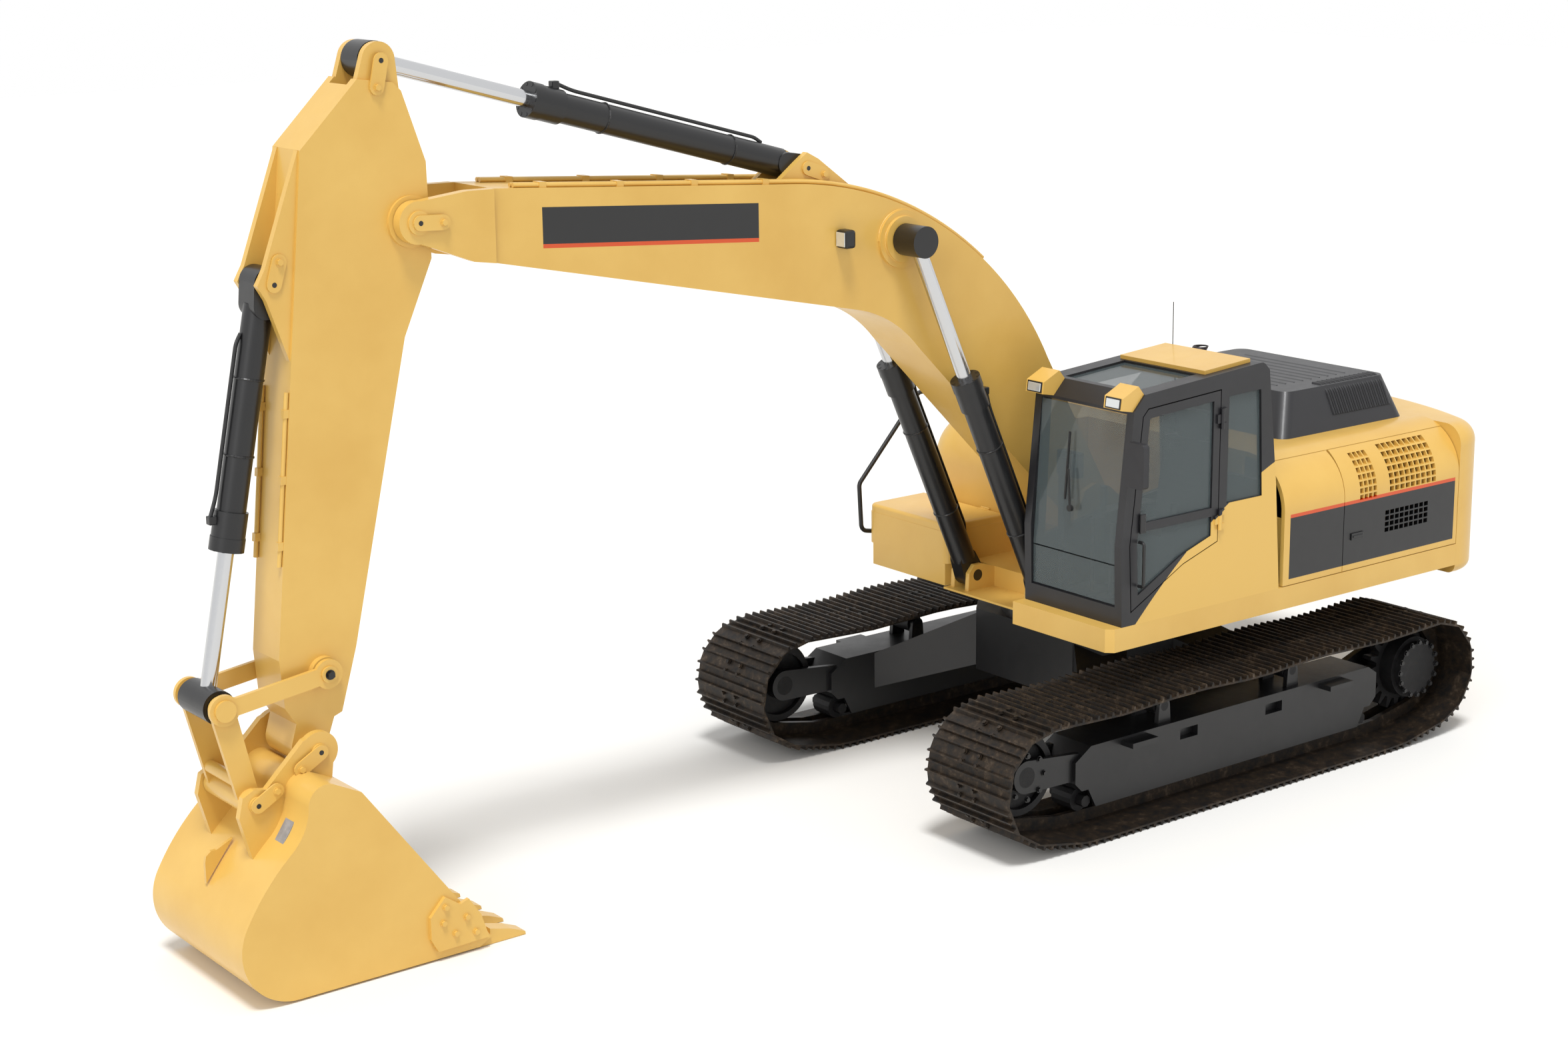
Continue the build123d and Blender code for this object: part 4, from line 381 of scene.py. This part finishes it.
# %% [markdown]
# ## Building blocks for the small parts
# Every small part is one mesh made by bmesh operators. Parts of one finish on one body
# share a mesh, which keeps the list of pieces short. A piece rides the body that carries
# it, so it moves with the arm, the doors or the upper house.

# %% Small part helpers
Y_AXIS = Vector((0, 1, 0))
WASHER_THICK = 0.004
BEND_STEPS = 5
PLATE_THICK = 0.012
WELD_SIDES = 48


class Parts:
    """Collects boxes, rods, bolts and pipes into one mesh that rides a body."""

    def __init__(self, name, body, finish, material_slot):
        self.name = name
        self.body = body
        self.finish = finish
        self.material_slot = material_slot
        self.bm = bmesh.new()

    def block(self, middle, size, round_mm, turn=None):
        """Box with rounded edges; turn is (axis, degrees) about its middle."""
        made = bmesh.ops.create_cube(self.bm, size=1.0)["verts"]
        bmesh.ops.scale(self.bm, vec=size, verts=made)
        edges = list({e for v in made for e in v.link_edges})
        out = bmesh.ops.bevel(self.bm, geom=edges, offset=round_mm / 1000, offset_type="OFFSET",
                              affect="EDGES", segments=2, profile=0.5, material=-1)
        made = list({v for f in out["faces"] for v in f.verts} | {v for v in made if v.is_valid})
        if turn:
            rotation = Matrix.Rotation(math.radians(turn[1]), 3, turn[0])
            bmesh.ops.rotate(self.bm, verts=made, cent=(0, 0, 0), matrix=rotation)
        bmesh.ops.translate(self.bm, verts=made, vec=middle)

    def rod(self, a, b, radius, sides=16):
        """Closed cylinder from a to b."""
        a, b = Vector(a), Vector(b)
        pose = Matrix.Translation((a + b) / 2) @ (b - a).to_track_quat("Z", "Y").to_matrix().to_4x4()
        bmesh.ops.create_cone(self.bm, cap_ends=True, segments=sides, radius1=radius, radius2=radius,
                              depth=(b - a).length, matrix=pose)

    def bolt(self, place, outward, across):
        """Hexagon head on a washer, at a place on a surface; across is about the head's width."""
        place, out = Vector(place), Vector(outward).normalized()
        seat = place + out * WASHER_THICK
        self.rod(place, seat, across * 0.72, 16)
        self.rod(seat, place + out * (WASHER_THICK + across * 0.45), across * 0.56, 6)

    def pipe(self, points, radius, sides, bend=0.06):
        """Tube through points, with its corners rounded by a bend radius."""
        points = [Vector(p) for p in points]
        path = [points[0]]
        for before, corner, after in zip(points, points[1:], points[2:]):
            cut = min(bend, (corner - before).length * 0.45, (after - corner).length * 0.45)
            start = corner + (before - corner).normalized() * cut
            end = corner + (after - corner).normalized() * cut
            for i in range(BEND_STEPS + 1):
                t = i / BEND_STEPS
                path.append(start * (1 - t) ** 2 + corner * (2 * t * (1 - t)) + end * t ** 2)
        path.append(points[-1])
        rings = []
        side = None
        for i, point in enumerate(path):
            ahead = (path[min(i + 1, len(path) - 1)] - path[max(i - 1, 0)]).normalized()
            if side is None:
                side = ahead.orthogonal().normalized()
            side = (side - ahead * side.dot(ahead)).normalized()
            other = ahead.cross(side)
            ring = []
            for k in range(sides):
                a = k * math.tau / sides
                rim = point + side * (radius * math.cos(a)) + other * (radius * math.sin(a))
                ring.append(self.bm.verts.new(rim))
            rings.append(ring)
        for low, high in zip(rings, rings[1:]):
            for k in range(sides):
                self.bm.faces.new((low[k], low[(k + 1) % sides], high[(k + 1) % sides], high[k]))
        self.bm.faces.new(reversed(rings[0]))
        self.bm.faces.new(rings[-1])

    def plate(self, outline, y_low, y_high):
        """Flat plate from an (x, z) outline, between two values of y."""
        face = self.bm.faces.new([self.bm.verts.new((x, y_low, z)) for x, z in outline])
        out = bmesh.ops.extrude_face_region(self.bm, geom=[face])["geom"]
        moved = [v for v in out if isinstance(v, bmesh.types.BMVert)]
        bmesh.ops.translate(self.bm, verts=moved, vec=(0, y_high - y_low, 0))

    def flag(self, pin, bolt, side, face_y, plate_y, radius=0.045):
        """Retainer plate with round ends from a pin's end to its bolt; pin and bolt are (x, z)."""
        along = math.atan2(bolt[1] - pin[1], bolt[0] - pin[0])
        outline = []
        for (x, z), start in ((pin, along + math.pi / 2), (bolt, along - math.pi / 2)):
            for k in range(9):
                a = start + k * math.pi / 8
                outline.append((x + radius * math.cos(a), z + radius * math.sin(a)))
        self.plate(outline, side * plate_y, side * (plate_y + PLATE_THICK))
        for (x, z), size in ((pin, 0.8), (bolt, 0.6)):
            self.rod((x, side * face_y, z), (x, side * (plate_y + 0.001), z), radius * size)
        self.bolt((bolt[0], side * (plate_y + PLATE_THICK), bolt[1]), (0, side, 0), 0.034)

    def weld(self, middle, radius, y, bead):
        """Weld bead along a circle in a plane of one y; middle is (x, z)."""
        turns = [math.tau * k / WELD_SIDES for k in range(WELD_SIDES + 1)]
        points = [(middle[0] + radius * math.cos(a), y, middle[1] + radius * math.sin(a)) for a in turns]
        self.pipe(points, bead, 6, 0.0)

    def done(self):
        """Finish the mesh, set its material and let it ride its body."""
        bmesh.ops.recalc_face_normals(self.bm, faces=self.bm.faces)
        mesh = bpy.data.meshes.new(self.name)
        self.bm.to_mesh(mesh)
        self.bm.free()
        mesh.materials.append(self.finish)
        piece = bpy.data.objects.new(self.name, mesh)
        bpy.context.scene.collection.objects.link(piece)
        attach(piece, self.body)
        print(self.name, len(mesh.polygons), "faces on", self.body)


# %% [markdown]
# ## Hub bolts
# The idlers' and the drives' hubs carry rings of bolts on their outer faces. The faces'
# places are read from the solids' boxes.

# %% Undercarriage
hubs = Parts("hub_bolts", "undercarriage", black_enamel, "black_paint")
for side in (1, -1):
    for node, radius, count in (("idlers", 0.15, 8), ("drive_sprockets", 0.20, 16)):
        low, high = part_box(node)
        middle_x = (low[0] + high[0]) / 2
        middle_z = (low[2] + high[2]) / 2
        face_y = side * (high[1] + 0.001)
        for i in range(count):
            a = math.tau * i / count
            place = (middle_x + radius * math.cos(a), face_y, middle_z + radius * math.sin(a))
            hubs.bolt(place, (0, side, 0), 0.03)
hubs.done()

# %% [markdown]
# ## Upper house details
# The engine and pump doors have lift handles, the hood has louvres on top and ribs at its
# left edge, and the cab has a wiper, a door handle and an aerial. A ray cast from outside
# finds the hood's skin, so the ribs follow it.

# %% House
LOUVRE_COUNT = 9
louvres = Parts("hood_louvres", "hood", charcoal_powder_coat, "cab_paint")
low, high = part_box("hood")
for i in range(LOUVRE_COUNT):
    x = low[0] + 0.30 + i * (high[0] - low[0] - 0.62) / (LOUVRE_COUNT - 1)
    louvres.block((x, (low[1] + high[1]) / 2, high[2] - 0.006), (0.055, 1.0, 0.010), 3, ("Y", 12))
louvres.done()

RIB_COUNT = 13
RIB_START_X = -2.16
RIB_ROW_LENGTH = 0.60
RIB_HEIGHTS = (2.36, 2.40, 2.44, 2.48, 2.52)
RIB_TOP_Y = (0.80, 0.72)
hood_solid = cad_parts["hood"]
ribs = Parts("hood_ribs", "hood", charcoal_powder_coat, "cab_paint")
# thin black tubes between the ribs are painted shade: they stand in for the dark gaps of the hood's slots
slot_shade = Parts("hood_slot_shade", "hood", black_enamel, "black_paint")
for i in range(2 * RIB_COUNT - 1):
    x = RIB_START_X + RIB_ROW_LENGTH * i / (2 * RIB_COUNT - 2)
    rays = [(Vector((x, 1.6, z)), Vector((0, -1, 0))) for z in RIB_HEIGHTS]
    rays += [(Vector((x, y, 3.0)), Vector((0, 0, -1))) for y in RIB_TOP_Y]
    path = []
    for start, direction in rays:
        hit, place = hood_solid.ray_cast(start, direction)[:2]
        if hit:
            path.append(place)
    if len(path) > 3:
        # odd rows are the painted shade of a slot, even rows are ribs
        (slot_shade if i % 2 else ribs).pipe(path, 0.010 if i % 2 else 0.012, 8, 0.02)
ribs.done()
slot_shade.done()

HANDLE_Z = 1.60
handles = Parts("door_handles", "engine_door", black_enamel, "black_paint")
low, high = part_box("engine_door_left")
handles.block((high[0] - 0.14, 1.446, HANDLE_Z), (0.13, 0.010, 0.05), 3)
handles.block((high[0] - 0.14, 1.450, HANDLE_Z), (0.10, 0.012, 0.016), 3)
handles.done()
handles_right = Parts("pump_door_handle", "pump_door", black_enamel, "black_paint")
low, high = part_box("pump_door_right")
handles_right.block((high[0] - 0.14, -1.446, HANDLE_Z), (0.13, 0.010, 0.05), 3)
handles_right.done()

aerial = Parts("aerial", "house", soft_rubber, "moulded_plastic")
aerial.pipe(((-0.20, 0.62, 2.96), (-0.20, 0.62, 3.30)), 0.003, 8)
aerial.rod((-0.20, 0.62, 2.95), (-0.20, 0.62, 2.985), 0.016)
aerial.done()

wiper = Parts("wiper", "house", soft_rubber, "moulded_plastic")
wiper.rod((1.062, 0.94, 2.08), (1.085, 0.94, 2.08), 0.022)
wiper.pipe(((1.076, 0.94, 2.08), (1.055, 0.90, 2.34)), 0.008, 8)
wiper.block((1.045, 0.88, 2.36), (0.012, 0.014, 0.46), 2, ("Y", -5))
wiper.done()

cab_handle = Parts("cab_handle", "cab_door", black_enamel, "black_paint")
cab_handle.pipe(((0.93, 1.452, 1.62), (0.93, 1.50, 1.62), (0.93, 1.50, 1.92), (0.93, 1.452, 1.92)),
                0.011, 10, 0.03)
cab_handle.block((0.90, 1.453, 2.04), (0.05, 0.014, 0.13), 4)
cab_handle.done()

# %% [markdown]
# ## Pins, cylinder heads and welds on the arm
# Pins end in retainer plates with one bolt each. Each cylinder has a ring of head bolts, a
# pipe along its barrel and two bands that hold the pipe.

# %% Pins and retainer plates
pins = Parts("stick_pin_bolts", "stick", black_enamel, "black_paint")
for side in (1, -1):
    pins.bolt((6.285, side * 0.254, 1.787), (0, side, 0), 0.042)
pins.done()

FLAGS = (
    # body, pin (x, z), bolt (x, z), y of the plate that carries the bolt, y of the pin's end
    ("boom", (5.570, 4.345), (5.420, 4.338), 0.262, 0.277),
    ("boom", STICK_BARREL_PIN, (2.530, 4.372), 0.1405, 0.1415),
    ("stick", STICK_ROD_PIN, (5.748, 5.118), 0.1655, 0.1665),
    ("stick", BUCKET_BARREL_PIN, (6.407, 4.192), 0.1465, 0.1475),
    ("bucket", (6.402, 1.354), (6.533, 1.281), 0.292, 0.3065),
    ("bucket", (6.816, 1.122), (6.698, 1.188), 0.292, 0.3065),
)
# black discs on the plates over the pins' ends are painted shade for the holes there
HOLE_SHADE_RADIUS = 0.015
for body in ("boom", "stick", "bucket"):
    flags = Parts(body + "_pin_plates", body, yellow_enamel, "yellow_paint")
    hole_shade = Parts(body + "_pin_hole_shade", body, black_enamel, "black_paint")
    for carrier, pin, bolt, face_y, plate_y in FLAGS:
        if carrier != body:
            continue
        for side in (1, -1):
            flags.flag(pin, bolt, side, face_y, plate_y)
            # painted shade: a thin black disc on the plate's face where the hole would look dark
            inner, outer = ((pin[0], side * (plate_y + reach), pin[1]) for reach in (0.010, 0.0128))
            hole_shade.rod(inner, outer, HOLE_SHADE_RADIUS)
    flags.done()
    hole_shade.done()

# %% Cylinder heads and their pipes
CYLINDERS = (
    # body, foot pin and rod pin (x, z), the values of y, barrel's length and radius
    ("boom_barrels", BOOM_BARREL_PIN, BOOM_ROD_PIN, (0.388, -0.388), 1.790, 0.086),
    ("stick_barrel", STICK_BARREL_PIN, STICK_ROD_PIN, (0.0,), 2.075, 0.092),
    ("bucket_barrel", BUCKET_BARREL_PIN, BUCKET_ROD_PIN, (0.0,), 1.540, 0.084),
)
HEAD_BOLTS = 10
PIPE_RADIUS = 0.012
BAND_REACH = 0.55
BAND_SIDES = 32
for body, foot, eye, places, length, radius in CYLINDERS:
    heads = Parts(body + "_head_bolts", body, cylinder_enamel, "black_paint")
    axis = Vector((eye[0] - foot[0], 0, eye[1] - foot[1])).normalized()
    across = Vector((-axis.z, 0, axis.x))
    for y in places:
        start = Vector((foot[0], y, foot[1]))
        for k in range(HEAD_BOLTS):
            a = math.tau * (k + 0.5) / HEAD_BOLTS
            out = across * math.cos(a) + Y_AXIS * math.sin(a)
            heads.bolt(start + axis * (length - 0.012) + out * (radius + 0.002), axis, 0.022)
        port = start + axis * (length - 0.17)
        heads.block(port + across * (radius + 0.030), (0.05, 0.05, 0.05), 6)
        lift = radius + 0.024
        heads.pipe((port + across * radius, port + across * (lift + 0.02),
                    start + axis * (length - 0.30) + across * lift, start + axis * 0.36 + across * lift,
                    start + axis * 0.30 + across * (radius + 0.003)), PIPE_RADIUS, 10, 0.05)
        for reach in (BAND_REACH, length - BAND_REACH):
            band = []
            for k in range(BAND_SIDES + 1):
                a = math.tau * k / BAND_SIDES
                out = across * math.cos(a) + Y_AXIS * math.sin(a)
                band.append(start + axis * reach + out * radius)
            heads.pipe(band, 0.007, 6, 0.0)
    heads.done()

# %% Welds and lamps
welds = Parts("boom_welds", "boom", yellow_enamel, "yellow_paint")
for side in (1, -1):
    welds.weld(BOOM_ROD_PIN, 0.190, side * 0.236, 0.006)
    welds.weld(BOOM_ROD_PIN, 0.150, side * 0.257, 0.005)
welds.done()
lamp_shell = Parts("boom_lamp", "boom", black_enamel, "black_paint")
lamp_shell.block((2.46, 0.285, 3.96), (0.085, 0.11, 0.12), 18)
lamp_shell.block((2.44, 0.243, 3.95), (0.04, 0.03, 0.05), 4)
lamp_shell.done()
lamp_face = Parts("boom_lamp_lens", "boom", lens_glass, "tinted_glass")
lamp_face.block((2.504, 0.285, 3.96), (0.006, 0.085, 0.092), 2)
lamp_face.done()
lenses = Parts("work_lamp_lenses", "house", lens_glass, "tinted_glass")
rims = Parts("work_lamp_rims", "house", black_enamel, "black_paint")
for y in (0.590, 1.340):
    rims.block((1.079, y, 2.861), (0.012, 0.142, 0.074), 3, ("Y", -7))
    lenses.block((1.084, y, 2.861), (0.010, 0.120, 0.056), 3, ("Y", -7))
lenses.done()
rims.done()

# %% [markdown]
# ## Bucket details
# Five bolts hold each side cutter, a small plate stands on the bucket's back as a lifting
# point, and a blank plate marks where a machine would carry its number.

# %% Bucket
CUTTER_BOLTS = ((5.60, 0.13), (5.66, 0.24), (5.74, 0.155), (5.82, 0.24), (5.80, 0.335))
LIFTING_PLATE = ((6.846, 0.850), (6.955, 0.800), (6.990, 0.800), (7.022, 0.775), (7.030, 0.735),
                 (7.030, 0.610))
LIFTING_PLATE_HALF = 0.012
fittings = Parts("bucket_fittings", "bucket", yellow_enamel, "yellow_paint")
for side in (1, -1):
    for x, z in CUTTER_BOLTS:
        fittings.bolt((x, side * 0.615, z), (0, side, 0), 0.032)
fittings.plate(LIFTING_PLATE, -LIFTING_PLATE_HALF, LIFTING_PLATE_HALF)
fittings.done()

bucket_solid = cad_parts["bucket"]
towards = Vector((-0.9, 0, -0.35)).normalized()
place, normal = bucket_solid.ray_cast(Vector((7.3, 0.40, 1.20)), towards)[1:3]
blank = Parts("bucket_blank_plate", "bucket", grey_metal, "machined_rod")
tilt = math.degrees(math.atan2(normal.z, normal.x))
blank.block(place + normal * 0.003, (0.010, 0.10, 0.14), 2, ("Y", -tilt))
blank.done()

# %% [markdown]
# ## Track shoe bolts
# Each shoe is bolted to its chain by four bolts. The chain's pins run along arcs and
# straight lines round the wheels, and the top run sags three times between its rollers.

# %% Track shoe bolts
SHOE_COUNT = 49
PIN_TO_SHOE = 0.056
TRACK_Y = 1.295
ARC_STEPS = 60
LINE_STEPS = 120
TOP_RUN = 2
TOP_SAGS = 3
# x, z and radius of the arcs that the track's pin line runs round
BELT = ((-1.530, 0.482, 0.400), (1.525, 0.482, 0.400), (1.907, 0.493, 0.338), (-1.931, 0.493, 0.338))


def belt_places(count, sag=0.022):
    """Places and outward directions at even steps along the track's pin line."""
    tangents = []
    for (x, z, r), (nx, nz, nr) in zip(BELT, BELT[1:] + BELT[:1]):
        d = math.hypot(nx - x, nz - z)
        swing = math.asin((r - nr) / d)
        tangents.append((math.atan2(nz - z, nx - x) + swing, d * math.cos(swing)))
    samples = []
    for i, (x, z, r) in enumerate(BELT):
        start, (end, line) = tangents[i - 1][0], tangents[i]
        turn = (end - start) % math.tau
        for k in range(ARC_STEPS):
            a = start + turn * k / ARC_STEPS
            samples.append((x + r * math.sin(a), z - r * math.cos(a), a))
        for k in range(LINE_STEPS):
            drop = sag * (1 - math.cos(math.tau * TOP_SAGS * k / LINE_STEPS)) / 2 if i == TOP_RUN else 0.0
            samples.append((x + r * math.sin(end) + line * k / LINE_STEPS * math.cos(end),
                            z - r * math.cos(end) + line * k / LINE_STEPS * math.sin(end) - drop, end))
    samples.append(samples[0])
    steps = [math.hypot(b[0] - a[0], b[1] - a[1]) for a, b in zip(samples, samples[1:])]
    pitch = sum(steps) / count
    places, gone, target = [], 0.0, 0.0
    for a, step in zip(samples, steps):
        while gone + step >= target and len(places) < count:
            places.append(a)
            target += pitch
        gone += step
    return places


shoe_bolts = Parts("shoe_bolts", "undercarriage", track_steel, "track_steel")
for x, z, angle in belt_places(SHOE_COUNT):
    along = Vector((math.cos(angle), 0, math.sin(angle)))
    outward = Vector((math.sin(angle), 0, -math.cos(angle)))
    for track_y in (TRACK_Y, -TRACK_Y):
        for step in (0.034, -0.034):
            for rail in (0.071, -0.071):
                place = Vector((x, track_y + rail, z)) + along * step + outward * PIN_TO_SHOE
                shoe_bolts.bolt(place, outward, 0.028)
shoe_bolts.done()

# %% [markdown]
# ## Floor, background and light
# The floor is a pale matt sheet that keeps the machine's shadow. The camera, mirrors and
# glass see a white world, and everything else is lit by a dimmer one, by a broad lamp high
# up and by a weaker one from the front left.

# %% Stage
FLOOR_HALF = 60.0
FLOOR_DROP = 0.003
floor_mesh = bpy.data.meshes.new("floor")
bm = bmesh.new()
bmesh.ops.create_grid(bm, x_segments=1, y_segments=1, size=FLOOR_HALF)
bmesh.ops.translate(bm, verts=bm.verts, vec=(0, 0, -FLOOR_DROP))
bm.to_mesh(floor_mesh)
bm.free()
floor = bpy.data.objects.new("floor", floor_mesh)
bpy.context.scene.collection.objects.link(floor)
floor_mesh.materials.append(new_material("pale_matt_floor", {"Base Color": "#F2F1EE", "Roughness": 0.9})[0])

DIM_SKY = 0.55
FULL_SKY = 1.0
world = bpy.data.worlds.new("pale_sky")
bpy.context.scene.world = world
world.use_nodes = True
world.node_tree.nodes.clear()
rays = add_node(world, "ShaderNodeLightPath").outputs
seen = add_node(world, "ShaderNodeMath", {0: rays["Is Camera Ray"], 1: rays["Is Glossy Ray"]},
                operation="MAXIMUM")
seen_too = add_node(world, "ShaderNodeMath", {0: seen.outputs[0], 1: rays["Is Transmission Ray"]},
                    operation="MAXIMUM")
strength = add_node(world, "ShaderNodeMapRange", {"Value": seen_too.outputs[0]},
                    {"To Min": DIM_SKY, "To Max": FULL_SKY})
sky = add_node(world, "ShaderNodeBackground", {"Strength": strength.outputs["Result"]},
               {"Color": (1.0, 1.0, 1.0, 1.0)})
add_node(world, "ShaderNodeOutputWorld", {"Surface": sky.outputs[0]})

LAMPS = (
    # name, strength, angle in degrees, direction that the light travels
    ("high_lamp", 2.2, 14.0, (-0.25, -0.30, -1.0)),
    ("front_lamp", 0.7, 30.0, (-0.9, -0.45, -0.45)),
)
for name, power, angle, direction in LAMPS:
    lamp_data = bpy.data.lights.new(name, "SUN")
    lamp_data.energy = power
    lamp_data.angle = math.radians(angle)
    lamp = bpy.data.objects.new(name, lamp_data)
    lamp.rotation_euler = Vector(direction).to_track_quat("-Z", "Y").to_euler()
    bpy.context.scene.collection.objects.link(lamp)
bpy.context.scene.view_settings.view_transform = "Standard"
print("stage and lamps made")
